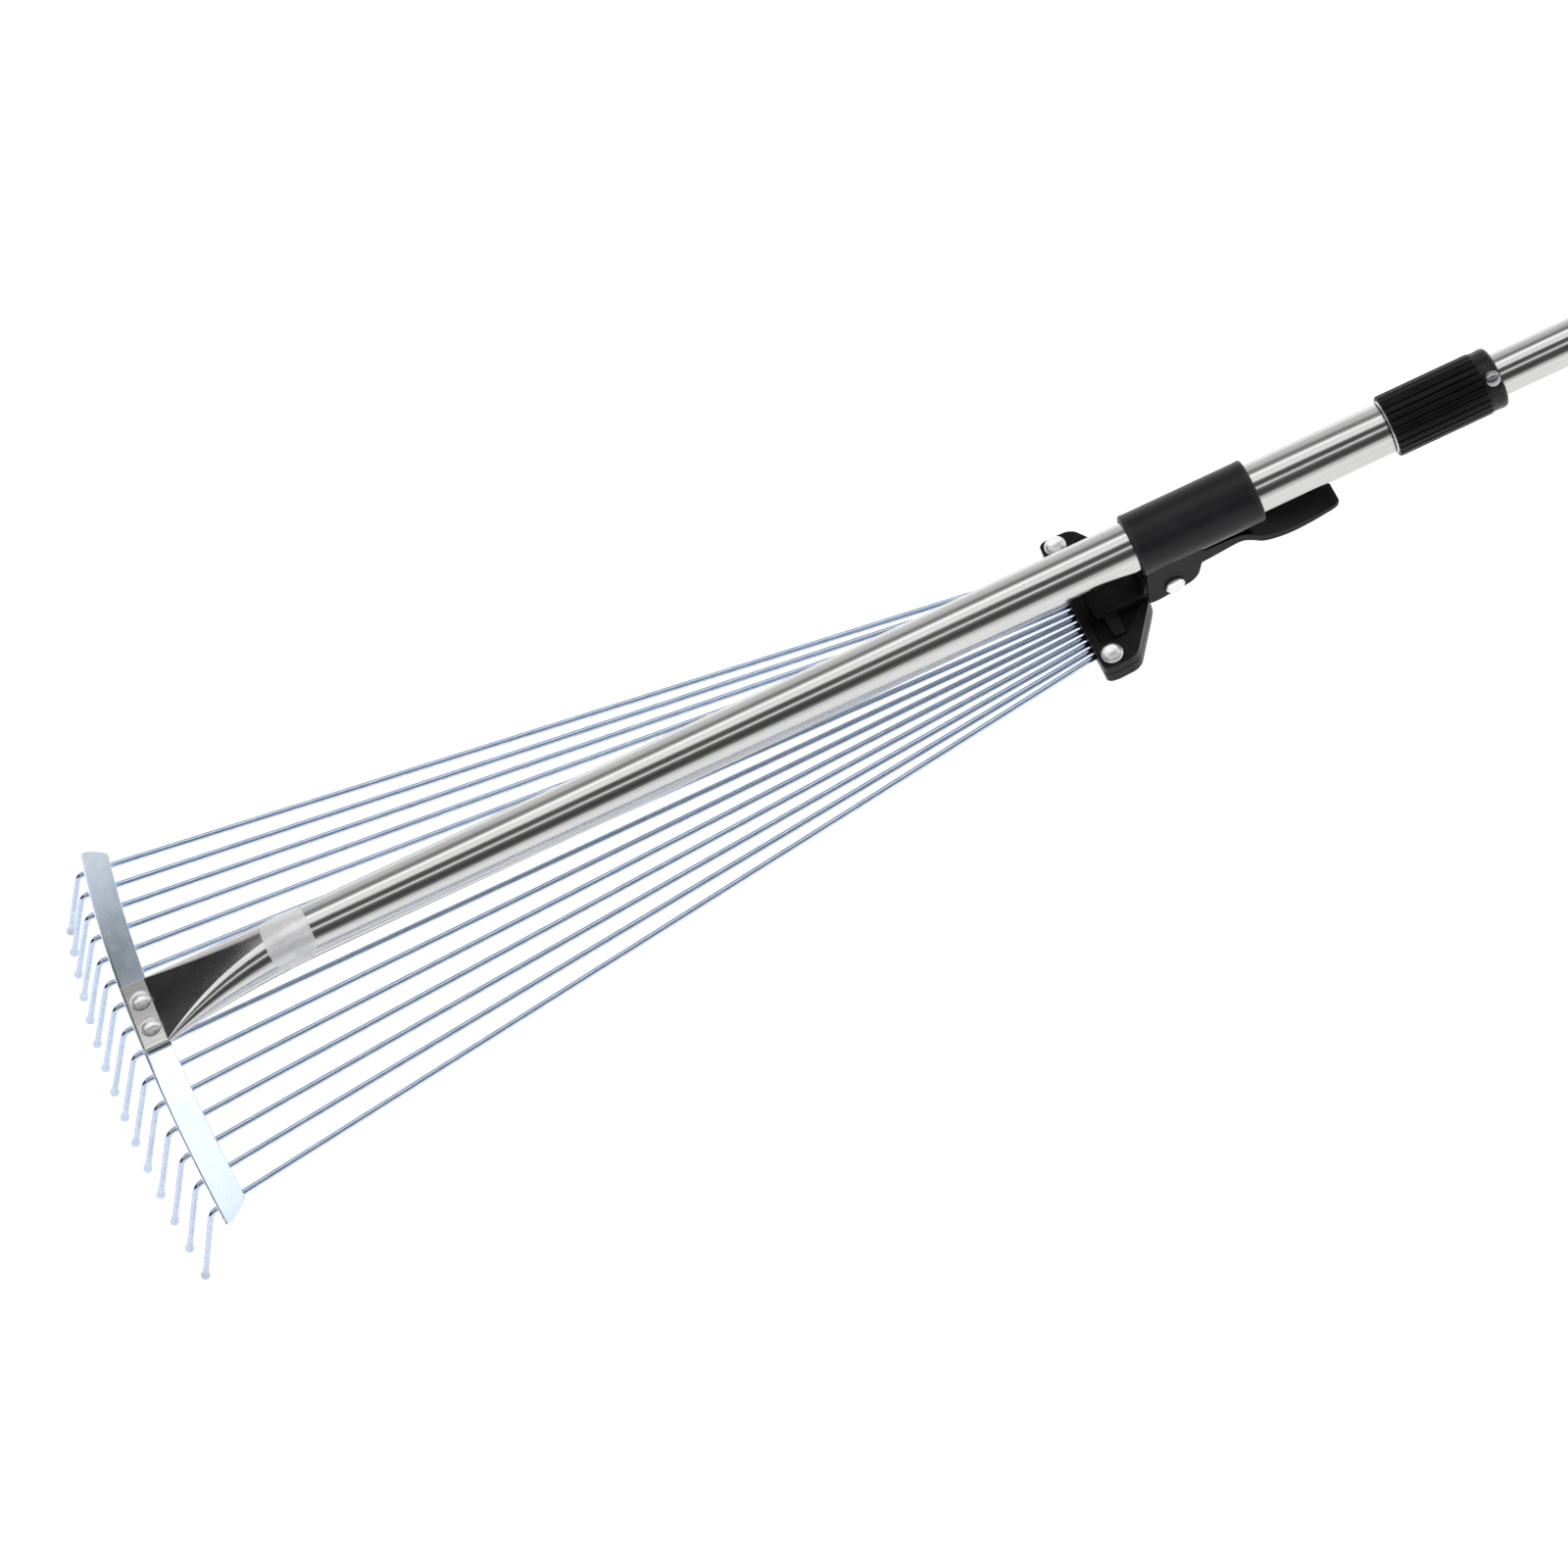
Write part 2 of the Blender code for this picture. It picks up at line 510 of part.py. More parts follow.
# Upper tube, plugged at its front, with the screw that drives the lock inside the lower tube
turned("upper_tube", [(UPPER_R, UPPER_REAR_X - UPPER_FRONT_X), (UPPER_R, 0), (UPPER_R - UPPER_WALL, 0),
                      (UPPER_R - UPPER_WALL, UPPER_REAR_X - UPPER_FRONT_X)],
       "chromed_tube", steps=40, ring=True, **along_x(UPPER_FRONT_X))
turned("tube_plug", [(0.0081, 0.0160), (0.0081, -0.0003), (0.0090, -0.0003), (0.0090, -0.0030), (0.0032, -0.0030),
                     (0.0032, 0.0160)],
       "nylon", steps=32, ring=True, **along_x(UPPER_FRONT_X))
turned("lock_screw", [(0, 0.0150), (0.0028, 0.0150), (0.0028, -0.0290), (0.0022, -0.0300), (0, -0.0300)],
       "rivet_steel", steps=20, **along_x(UPPER_FRONT_X))
turned("lock_expander", [(0.0095, 0), (0.0098, -0.0010), (0.0098, -0.0200), (0.0088, -0.0220), (0.0080, -0.0220),
                         (0.0045, -0.0100), (0.0034, -0.0030), (0.0034, 0)],
       "nylon", steps=36, ring=True, **along_x(UPPER_FRONT_X - 0.0034))
turned("lock_cone", [(0.0046, 0.0120), (0.0076, 0.0018), (0.0078, 0), (0.0032, 0), (0.0032, 0.0120)],
       "nylon", steps=32, ring=True, **along_x(UPPER_FRONT_X - 0.0275))

# Grip and hanging eye at the far end
turned("grip", [(0.0128, GRIP_REAR_X - GRIP_FRONT_X), (GRIP_R, 0.1150), (GRIP_R, 0.1080), (0.0136, 0.1040),
                (0.0136, 0.0160), (GRIP_R, 0.0110), (GRIP_R, 0.0050), (0.0122, 0), (UPPER_R + GAP, 0),
                (UPPER_R + GAP, GRIP_REAR_X - GRIP_FRONT_X)],
       "grip_rubber", steps=40, ring=True, **along_x(GRIP_FRONT_X))
eye = outline("hang_eye",
              [(EYE_X + EYE_R * math.cos(a), EYE_R * math.sin(a)) for a in
               (math.radians(d) for d in range(-120, 121, 12))] + [(GRIP_REAR_X + GAP, 0.0100), (GRIP_REAR_X + GAP, -0.0100)],
              0.0090, "black_plastic", (0, 0, TUBE_Z), (math.pi / 2, 0, 0))
cut(eye, rod("spigot", (UPPER_REAR_X - 0.012, 0, TUBE_Z), (GRIP_REAR_X + 0.004, 0, TUBE_Z), 0.0081, sides=32), "UNION")
cut(eye, rod("eye_hole", (EYE_X, -0.02, TUBE_Z), (EYE_X, 0.02, TUBE_Z), EYE_HOLE_R, sides=32))
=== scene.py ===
"""Looks for the adjustable leaf rake: fine pieces, procedural finishes, studio and camera round its frame."""

import math

import bmesh
import bpy
from mathutils import Matrix, Vector


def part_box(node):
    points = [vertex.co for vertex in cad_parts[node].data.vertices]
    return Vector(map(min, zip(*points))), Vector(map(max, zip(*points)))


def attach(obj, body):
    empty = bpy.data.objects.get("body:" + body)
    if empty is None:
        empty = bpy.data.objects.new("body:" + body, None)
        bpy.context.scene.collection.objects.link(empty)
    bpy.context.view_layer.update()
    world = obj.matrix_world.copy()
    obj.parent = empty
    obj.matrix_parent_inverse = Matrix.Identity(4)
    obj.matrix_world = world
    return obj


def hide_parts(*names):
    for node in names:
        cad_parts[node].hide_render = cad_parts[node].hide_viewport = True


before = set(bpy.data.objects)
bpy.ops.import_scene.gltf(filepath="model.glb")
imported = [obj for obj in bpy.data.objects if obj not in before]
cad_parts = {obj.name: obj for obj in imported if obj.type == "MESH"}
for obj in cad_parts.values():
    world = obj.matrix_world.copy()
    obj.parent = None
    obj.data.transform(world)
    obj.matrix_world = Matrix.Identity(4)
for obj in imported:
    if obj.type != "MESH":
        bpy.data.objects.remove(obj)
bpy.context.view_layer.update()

# Dimensions shared with the CAD, in metres. Lengths are from the middle of the crossbar's front edge,
# at its top face.
TUBE_R, TUBE_WALL, TUBE_Z, TUBE_END_X = 0.0110, 0.0008, 0.0062, 0.604
TAB_FRONT_X, TAB_REAR_X, TAB_HALF, FLARE_END_X = 0.0012, 0.0122, 0.0010, 0.087
GAP = 0.0003
LABEL_X, LABEL_ANGLE, LABEL_HALF_X, LABEL_HALF_TURN = 0.0742, math.radians(112), 0.0100, math.radians(84)
BAR_HALF, BAR_SLANT, BAR_DEPTH, BAR_SHEET = 0.0972, 0.0075, 0.0125, 0.0010
BAR_PLAN_R, BAR_DROP, WEB_MID, WEB_END = 1.174, 1.53, 0.0145, 0.0215
TINES, TINE_R, BALL_R = 15, 0.0013, 0.0020
SLOT_PITCH, PIVOT_PITCH, SLOT_DROP = 0.0126, 0.0032, 0.0038
PIVOT_X, PIVOT_Z = 0.434, -0.0205
TINE_REACH, HOOK_DEPTH, HOOK_BEND_R, HOOK_LEAN = 0.4543, 0.0389, 0.005, math.radians(22)
PIN_R, PIN_LENGTH, SLIDE_TRAVEL = 0.0008, 0.0034, 0.200
COLLAR_R, COLLAR_FRONT_X, COLLAR_REAR_X = 0.0137, 0.4535, 0.5090
PLATE_TOP_Z, PLATE_BOTTOM_Z = -0.0156, -0.0262
LEVER_PIN, LEVER_PIN_R = (0.4646, -0.0140), 0.0022
CHEEK_OUT, CHEEK_IN = 0.0126, 0.0090
RIVET_AT, RIVET_SEAT_Z = (0.4285, 0.0298), -0.0146
TAB_RIVET_AT, TAB_RIVET_SEAT_Z = (0.0074, 0.0067), 0.0023 + GAP
PIN_CLEARANCE, CAM_OFFSET = 0.0002, 0.0008
SLEEVE_R, SLEEVE_FRONT_X, SLEEVE_RIB_END_X, SLEEVE_REAR_X = 0.0134, 0.5700, 0.6125, 0.6198
UPPER_R, UPPER_WALL, UPPER_FRONT_X, UPPER_REAR_X = 0.0092, 0.0008, 0.100, 0.880
GRIP_R, GRIP_FRONT_X, GRIP_REAR_X = 0.0142, 0.765, 0.884
EYE_X, EYE_R, EYE_HOLE_R = 0.8975, 0.0095, 0.0045
STUD_X, STUD_SEAT_R, STUD_ANGLE = 0.6158, 0.0135, math.radians(125)

# The place of that layout point in the frame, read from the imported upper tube
low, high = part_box("upper_tube")
ORIGIN = Vector((high.x - UPPER_REAR_X, 0, (low.z + high.z) / 2 - TUBE_Z))
HALF = (TINES - 1) // 2


# ---------------------------------------------------------------- finishes

def feed(tree, socket, value):
    """Links the socket to an output, or sets it to a number or a colour."""
    if isinstance(value, bpy.types.NodeSocket):
        tree.links.new(value, socket)
    elif isinstance(value, tuple):
        socket.default_value = (*value, 1)
    else:
        socket.default_value = value


def map_range(tree, value, from_low, from_high, to_low, to_high):
    node = tree.nodes.new("ShaderNodeMapRange")
    names = ("Value", "From Min", "From Max", "To Min", "To Max")
    for name, number in zip(names, (value, from_low, from_high, to_low, to_high)):
        feed(tree, node.inputs[name], number)
    return node.outputs["Result"]


def calculate(tree, operation, a, b):
    node = tree.nodes.new("ShaderNodeMath")
    node.operation = operation
    for socket, value in zip(node.inputs, (a, b)):
        feed(tree, socket, value)
    return node.outputs["Value"]


def colour_ramp(tree, value, stops):
    """Colour by a value, as (position, (r, g, b)) stops."""
    node = tree.nodes.new("ShaderNodeValToRGB")
    elements = node.color_ramp.elements
    while len(elements) < len(stops):
        elements.new(0.5)
    for element, (at, colour) in zip(elements, stops):
        element.position, element.color = at, (*colour, 1)
    tree.links.new(value, node.inputs["Fac"])
    return node.outputs["Color"]


class Look:
    """A Principled material and short ways to add its nodes."""

    def __init__(self, name, metallic=0.0, specular=0.5, coat=0.0, coat_rough=0.1):
        self.mat = bpy.data.materials.new(name)
        self.mat.use_nodes = True
        self.tree = self.mat.node_tree
        self.shader = self.tree.nodes["Principled BSDF"]
        self.shader.inputs["Metallic"].default_value = metallic
        self.shader.inputs["Specular IOR Level"].default_value = specular
        self.shader.inputs["Coat Weight"].default_value = coat
        self.shader.inputs["Coat Roughness"].default_value = coat_rough
        self.coords = self.tree.nodes.new("ShaderNodeTexCoord").outputs["Object"]

    def noise(self, stretch, detail=3.0, rough=0.5, distortion=0.0):
        """Noise over the object's own metres, with so many waves to the metre on each axis."""
        mapping = self.tree.nodes.new("ShaderNodeMapping")
        mapping.inputs["Scale"].default_value = stretch
        self.tree.links.new(self.coords, mapping.inputs["Vector"])
        node = self.tree.nodes.new("ShaderNodeTexNoise")
        node.inputs["Scale"].default_value = 1.0
        node.inputs["Detail"].default_value = detail
        node.inputs["Roughness"].default_value = rough
        node.inputs["Distortion"].default_value = distortion
        self.tree.links.new(mapping.outputs["Vector"], node.inputs["Vector"])
        return node.outputs["Fac"]

    def spread(self, value, from_low, from_high, to_low, to_high):
        return map_range(self.tree, value, from_low, from_high, to_low, to_high)

    def math(self, operation, a, b):
        return calculate(self.tree, operation, a, b)

    def colours(self, value, stops):
        return colour_ramp(self.tree, value, stops)

    def mix(self, factor, a, b):
        node = self.tree.nodes.new("ShaderNodeMix")
        node.data_type = "RGBA"
        for socket, value in (("Factor", factor), ("A", a), ("B", b)):
            feed(self.tree, node.inputs[socket], value)
        return node.outputs["Result"]

    def base(self, colour):
        self.tree.links.new(colour, self.shader.inputs["Base Color"])

    def rough(self, value):
        self.tree.links.new(value, self.shader.inputs["Roughness"])

    def bump(self, *layers):
        """Height layers of (value, strength, distance in metres), finest last."""
        normal = None
        for value, strength, distance in layers:
            node = self.tree.nodes.new("ShaderNodeBump")
            node.inputs["Strength"].default_value = strength
            node.inputs["Distance"].default_value = distance
            self.tree.links.new(value, node.inputs["Height"])
            if normal:
                self.tree.links.new(normal, node.inputs["Normal"])
            normal = node.outputs["Normal"]
        self.tree.links.new(normal, self.shader.inputs["Normal"])

    def edges(self):
        """0 on flat faces, 1 on outer edges, which get a paler colour: partly wear, partly a painted edge
        highlight.
        """
        node = self.tree.nodes.new("ShaderNodeNewGeometry")
        return self.spread(node.outputs["Pointiness"], 0.50, 0.56, 0, 1)


def tinted(tint, level):
    return tuple(level * c for c in tint)


def polished_tube(name):
    """Bright tube with fine lines along it."""
    tint = (1.0, 0.995, 0.99)
    look = Look(name, metallic=1.0)
    streaks = look.noise((2.5, 900, 900), 3, 0.6)
    fine = look.noise((12, 3200, 3200), 2, 0.5)
    clouds = look.noise((9, 40, 40), 4, 0.6)
    tone = look.math("ADD", look.math("MULTIPLY", streaks, 0.6), look.math("MULTIPLY", clouds, 0.4))
    look.base(look.colours(tone, [(0.25, tinted(tint, 0.48)), (0.75, tinted(tint, 0.66))]))
    look.rough(look.spread(look.math("ADD", fine, clouds), 0.6, 1.4, 0.10, 0.20))
    look.bump((clouds, 0.10, 0.0004), (streaks, 0.10, 0.00008), (fine, 0.08, 0.00003))
    return look.mat


def brushed_zinc(name, pale, deep):
    """Bluish zinc plate: faint clouds, brush lines and short scratches."""
    look = Look(name, metallic=1.0)
    brush = look.noise((2600, 30, 30), 3, 0.6)
    clouds = look.noise((120, 70, 70), 4, 0.65, 0.4)
    scratches = look.noise((60, 2400, 900), 2, 0.7, 1.2)
    marks = look.spread(scratches, 0.66, 0.72, 0, 1)
    tone = look.math("ADD", look.math("MULTIPLY", brush, 0.3), look.math("MULTIPLY", clouds, 0.7))
    plate = look.colours(tone, [(0.3, deep), (0.7, pale)])
    look.base(look.mix(look.math("MULTIPLY", marks, 0.5), plate, (0.82, 0.86, 0.9)))
    look.rough(look.spread(look.math("ADD", brush, clouds), 0.6, 1.4, 0.15, 0.27))
    look.bump((clouds, 0.16, 0.0004), (brush, 0.12, 0.00004), (marks, 0.15, 0.00003))
    return look.mat


SOIL_Z = (-0.0535, -0.0490)


def zinc_wire(name, seed, tip_stain):
    """Drawn wire, zinc plated, duller towards the ball where it meets the soil."""
    look = Look(name, metallic=1.0)
    drawn = look.noise((18 + seed, 2400, 2400), 3, 0.6)
    spots = look.noise((260 + seed, 420, 420), 4, 0.7)
    tone = look.math("ADD", look.math("MULTIPLY", drawn, 0.55), look.math("MULTIPLY", spots, 0.45))
    clean = look.colours(tone, [(0.3, (0.36, 0.44, 0.58)), (0.7, (0.64, 0.73, 0.87))])
    split = look.tree.nodes.new("ShaderNodeSeparateXYZ")
    look.tree.links.new(look.coords, split.inputs[0])
    low_end = look.spread(split.outputs["Z"], *SOIL_Z, 1, 0)
    stain = look.math("MULTIPLY", low_end, look.spread(spots, 0.40, 0.60, 0.15 + tip_stain, 0.5 + tip_stain))
    look.base(look.mix(stain, clean, (0.30, 0.27, 0.24)))
    drawn_rough = look.spread(tone, 0.3, 0.7, 0.07, 0.15)
    look.rough(look.math("ADD", drawn_rough, look.math("MULTIPLY", low_end, 0.14)))
    look.bump((spots, 0.12, 0.00010), (drawn, 0.10, 0.00004))
    return look.mat


def rivet_metal(name):
    """Pale plated steel with shallow dents."""
    look = Look(name, metallic=0.85)
    dents = look.noise((420, 420, 420), 3, 0.5)
    fine = look.noise((3500, 3500, 3500), 2, 0.5)
    look.base(look.colours(dents, [(0.3, (0.74, 0.74, 0.745)), (0.7, (0.90, 0.90, 0.905))]))
    look.rough(look.spread(look.math("ADD", dents, fine), 0.6, 1.4, 0.27, 0.40))
    look.bump((dents, 0.25, 0.0004), (fine, 0.08, 0.00004))
    return look.mat


def moulded(name, shade, rough, grain, specular, metallic=0.0):
    """Black moulded plastic: faint grain, its edges painted paler, partly as wear and partly as a painted
    highlight.
    """
    look = Look(name, metallic, specular)
    grain_map = look.noise((2600, 2600, 2600), 3, 0.55)
    clouds = look.noise((90, 90, 90), 4, 0.6)
    scuffs = look.spread(look.noise((160, 2200, 1400), 2, 0.7, 0.8), 0.68, 0.74, 0, 1)
    dark, pale = tinted((0.8, 0.8, 0.9), shade), tinted((1.25, 1.25, 1.4), shade)
    body = look.colours(clouds, [(0.3, dark), (0.7, pale)])
    # Paler edges: partly rubbed wear, partly a painted highlight on the rims
    worn_and_edge_highlight = look.math("MULTIPLY", look.edges(), look.spread(clouds, 0.35, 0.65, 0.25, 0.8))
    look.base(look.mix(worn_and_edge_highlight, body, (shade * 3 + 0.008, shade * 3 + 0.008, shade * 3 + 0.009)))
    look.rough(look.math("ADD", look.spread(look.math("ADD", grain_map, clouds), 0.6, 1.4, *rough),
                         look.math("MULTIPLY", scuffs, 0.10)))
    look.bump((clouds, 0.08, 0.0005), (grain_map, grain, 0.00010))
    return look.mat


def embossed(name):
    """The sleeve's rear ring: an irregular moulded pattern."""
    look = Look(name, specular=0.25)
    blobs = look.noise((330, 330, 330), 2, 0.5, 1.6)
    raised = look.spread(blobs, 0.47, 0.53, 0, 1)
    fine = look.noise((2600, 2600, 2600), 3, 0.55)
    look.base(look.colours(raised, [(0.0, (0.004, 0.004, 0.005)), (1.0, (0.009, 0.009, 0.010))]))
    look.rough(look.spread(raised, 0, 1, 0.34, 0.16))
    look.bump((raised, 0.7, 0.0003), (fine, 0.15, 0.00008))
    return look.mat


def foil(name):
    look = Look(name, metallic=0.45, coat=0.3, coat_rough=0.22)
    wrinkles = look.noise((110, 260, 260), 3, 0.55, 0.6)
    weave = look.noise((1800, 1800, 1800), 2, 0.5)
    look.base(look.colours(wrinkles, [(0.3, (0.60, 0.60, 0.61)), (0.7, (0.76, 0.76, 0.77))]))
    look.rough(look.spread(weave, 0.3, 0.7, 0.34, 0.46))
    look.bump((wrinkles, 0.18, 0.0003), (weave, 0.08, 0.00005))
    return look.mat


def rubber(name):
    look = Look(name, specular=0.35)
    grain = look.noise((1500, 1500, 1500), 3, 0.6)
    dust = look.noise((70, 70, 70), 5, 0.65)
    look.base(look.mix(look.spread(dust, 0.5, 0.8, 0, 0.5), (0.016, 0.016, 0.017), (0.055, 0.053, 0.050)))
    look.rough(look.spread(dust, 0.3, 0.7, 0.58, 0.76))
    look.bump((grain, 0.35, 0.00015))
    return look.mat


def nylon(name):
    look = Look(name)
    clouds = look.noise((120, 120, 120), 4, 0.6)
    look.base(look.colours(clouds, [(0.3, (0.62, 0.60, 0.53)), (0.7, (0.78, 0.76, 0.70))]))
    look.rough(look.spread(clouds, 0.3, 0.7, 0.38, 0.55))
    look.bump((clouds, 0.15, 0.0003))
    return look.mat


TUBE_LOOK = polished_tube("polished_tube")
BAR_LOOK = brushed_zinc("zinc_strip", (0.86, 0.93, 1.0), (0.62, 0.74, 0.90))
RIVET_LOOK = rivet_metal("rivet_metal")
BLACK = moulded("black_moulding", 0.0028, (0.26, 0.40), 0.16, 0.12)
# The collar's base is the slider's black painted paler, as painted light on the collar's face
BLACK_COLLAR_PAINTED_LIT = moulded("black_collar_painted_lit", 0.010, (0.30, 0.40), 0.36, 0.20)
BLACK_GLOSS = moulded("black_gloss", 0.26, (0.20, 0.28), 0.03, 0.5, 1.0)


# ---------------------------------------------------------------- shapes

def piece(name, mesh, body, look, nodes=(), bevel=0.0, smooth=35):
    """A finished piece: shaded, with rounded edges, riding on its body and standing for its CAD nodes."""
    obj = bpy.data.objects.new(name, mesh)
    bpy.context.scene.collection.objects.link(obj)
    mesh.materials.clear()
    mesh.materials.append(look)
    mesh.shade_smooth()
    mesh.set_sharp_from_angle(angle=math.radians(smooth))
    if bevel:
        mod = obj.modifiers.new("Bevel", "BEVEL")
        mod.width, mod.segments = bevel, 3
        mod.limit_method, mod.angle_limit = "ANGLE", math.radians(smooth)
        mod.harden_normals = True
    obj.location = ORIGIN
    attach(obj, body)
    if nodes:
        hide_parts(*nodes)
    return obj


def to_mesh(name, bm):
    bmesh.ops.recalc_face_normals(bm, faces=bm.faces)
    mesh = bpy.data.meshes.new(name)
    bm.to_mesh(mesh)
    bm.free()
    return mesh


def ring_loft(name, rings, closed=False):
    """Skins rings of equal count; the ends are capped, or joined for a hollow body."""
    bm = bmesh.new()
    loops = [[bm.verts.new(p) for p in ring] for ring in rings]
    for a, b in list(zip(loops, loops[1:])) + ([(loops[-1], loops[0])] if closed else []):
        for i in range(len(a)):
            j = (i + 1) % len(a)
            bm.faces.new((a[i], a[j], b[j], b[i]))
    if not closed:
        bm.faces.new(loops[0])
        bm.faces.new(loops[-1])
    return to_mesh(name, bm)


def spun(name, profile, start, axis, steps=96, closed=False):
    """A (radius, height) profile turned about an axis through start."""
    axis = Vector(axis).normalized()
    side = axis.orthogonal().normalized()
    other = axis.cross(side)
    bm = bmesh.new()
    rows = []
    for r, h in profile:
        centre = Vector(start) + axis * h
        if r == 0:
            rows.append([bm.verts.new(centre)])
            continue
        rows.append([bm.verts.new(centre + side * r * math.cos(a) + other * r * math.sin(a))
                     for a in (2 * math.pi * i / steps for i in range(steps))])
    for a, b in list(zip(rows, rows[1:])) + ([(rows[-1], rows[0])] if closed else []):
        for i in range(steps):
            j = (i + 1) % steps
            corners = [a[i % len(a)], a[j % len(a)], b[j % len(b)], b[i % len(b)]]
            corners = [v for n, v in enumerate(corners) if v not in corners[:n]]
            if len(corners) > 2:
                bm.faces.new(corners)
    return to_mesh(name, bm)


def slab(name, points, low, high, plane="XY"):
    """A flat outline with thickness, in the XY plane or, for the cheeks and the eye, in XZ."""
    bm = bmesh.new()
    place = (lambda x, y, t: (x, y, t)) if plane == "XY" else (lambda x, y, t: (x, t, y))
    lower = [bm.verts.new(place(x, y, low)) for x, y in points]
    upper = [bm.verts.new(place(x, y, high)) for x, y in points]
    bm.faces.new(lower)
    bm.faces.new(upper)
    for i in range(len(points)):
        j = (i + 1) % len(points)
        bm.faces.new((lower[i], lower[j], upper[j], upper[i]))
    return to_mesh(name, bm)


def rounded(points, radius, steps=5):
    """The outline with its corners turned into arcs."""
    out = []
    count = len(points)
    for i, corner in enumerate(points):
        here = Vector(corner)
        before, after = Vector(points[i - 1]) - here, Vector(points[(i + 1) % count]) - here
        reach = min(radius, before.length * 0.45, after.length * 0.45)
        a, b = here + before.normalized() * reach, here + after.normalized() * reach
        for s in range(steps + 1):
            t = s / steps
            out.append(tuple(a * (1 - t) ** 2 + here * 2 * t * (1 - t) + b * t * t))
    return out


def cut_by(mesh, cutters):
    """The mesh with each cutter mesh taken away."""
    obj = bpy.data.objects.new("work", mesh)
    bpy.context.scene.collection.objects.link(obj)
    for tool_mesh in cutters:
        tool = bpy.data.objects.new("tool", tool_mesh)
        bpy.context.scene.collection.objects.link(tool)
        mod = obj.modifiers.new("Cut", "BOOLEAN")
        mod.operation, mod.solver, mod.object = "DIFFERENCE", "EXACT", tool
        bpy.context.view_layer.update()
        result = bpy.data.meshes.new_from_object(obj.evaluated_get(bpy.context.evaluated_depsgraph_get()))
        obj.modifiers.clear()
        obj.data = result
        bpy.data.objects.remove(tool, do_unlink=True)
    result = obj.data
    bpy.data.objects.remove(obj, do_unlink=True)
    return result


def box_mesh(low, high, bevel=0.0):
    bm = bmesh.new()
    bmesh.ops.create_cube(bm, size=1)
    for v in bm.verts:
        v.co = Vector((low[i] if v.co[i] < 0 else high[i] for i in range(3)))
    if bevel:
        bmesh.ops.bevel(bm, geom=bm.edges[:], offset=bevel, segments=3, affect="EDGES", profile=0.5)
    return to_mesh("box", bm)


def drill(start, stop, radius, sides=48):
    """A round cutter from one point to the other."""
    start, stop = Vector(start), Vector(stop)
    long = (stop - start).length
    return spun("drill", [(0, 0), (radius, 0), (radius, long), (0, long)], start, stop - start, sides)


def arc(cx, cy, radius, start, stop, steps):
    """Points of an arc about (cx, cy), between two angles in degrees."""
    angles = [math.radians(start + (stop - start) * i / steps) for i in range(steps + 1)]
    return [(cx + radius * math.cos(a), cy + radius * math.sin(a)) for a in angles]


# Lower tube, pressed flat at its front
def tube_point(x, angle, out):
    """A point over the tube's skin. Its girth stays the same from the flat tab to the full circle."""
    t = min(max((x - TAB_REAR_X) / (FLARE_END_X - TAB_REAR_X), 0), 1)
    rise = 1 - (1 - t) ** 2.1
    radius = TAB_HALF + (TUBE_R - TAB_HALF) * rise
    flat = (TUBE_R - radius) * math.pi / 2
    middle = GAP + TAB_HALF + (TUBE_Z - GAP - TAB_HALF) * rise
    return (x, math.copysign(flat, math.cos(angle)) + (radius + out) * math.cos(angle),
            middle + (radius + out) * math.sin(angle))


def tube_section(x, out=0.0, sides=144):
    return [tube_point(x, 2 * math.pi * (i + 0.5) / sides, out) for i in range(sides)]


# The bore begins after SOLID_STEPS, where the pressed walls part
FLARE_STEPS, SOLID_STEPS, TUBE_EDGE = 56, 16, 0.0003
flare = [TAB_REAR_X + (FLARE_END_X - TAB_REAR_X) * (i / FLARE_STEPS) ** 1.4 for i in range(FLARE_STEPS + 1)]
tab = [TAB_FRONT_X + TUBE_EDGE, TAB_FRONT_X + 0.0008, TAB_REAR_X - 0.0004]
outer = [tube_section(TAB_FRONT_X, -TUBE_EDGE)]
outer += [tube_section(x) for x in [*tab, *flare, 0.2, 0.3, 0.4, 0.5, TUBE_END_X - TUBE_EDGE]]
outer.append(tube_section(TUBE_END_X, -TUBE_EDGE))
inner = [tube_section(x, -TUBE_WALL) for x in [TUBE_END_X, 0.4, 0.2, *flare[:SOLID_STEPS:-1]]]
piece("lower_tube", ring_loft("lower_tube", outer + inner), "tube_and_bar", TUBE_LOOK,
      ("main_tube",), smooth=50)


# Crossbar: one bent sheet with a window for each tine
def bar_drop(y):
    return -BAR_DROP * y * y


def bar_front(y):
    return y * y / (2 * BAR_PLAN_R)


def bar_section(y):
    end = max(0.0, abs(y) - (BAR_HALF - BAR_SLANT)) / BAR_SLANT
    deep = BAR_DEPTH - 0.0090 * end ** 1.35
    low = -(WEB_MID + (WEB_END - WEB_MID) * (y / BAR_HALF) ** 2) - bar_drop(y)
    s, r = BAR_SHEET, 0.0019
    outside = [(r - r * math.sin(a), -r + r * math.cos(a)) for a in (math.pi / 2 * i / 8 for i in range(9))]
    inside = [(r - (r - s) * math.sin(a), -r + (r - s) * math.cos(a))
              for a in (math.pi / 2 * i / 5 for i in range(6))]
    nick = 0.00018
    profile = [(deep, -nick), (deep - nick, 0), *outside, (0, low + nick), (nick, low), (s - nick, low),
               (s, low + nick), *reversed(inside), (deep - nick, -s), (deep, -s + nick)]
    return [(bar_front(y) + x, y, bar_drop(y) + z) for x, z in profile]


def tine_line(k):
    pivot = Vector((PIVOT_X, k * PIVOT_PITCH, PIVOT_Z))
    y = k * SLOT_PITCH
    slot = Vector((bar_front(y), y, bar_drop(y) - SLOT_DROP))
    return pivot, slot, (slot - pivot).normalized()


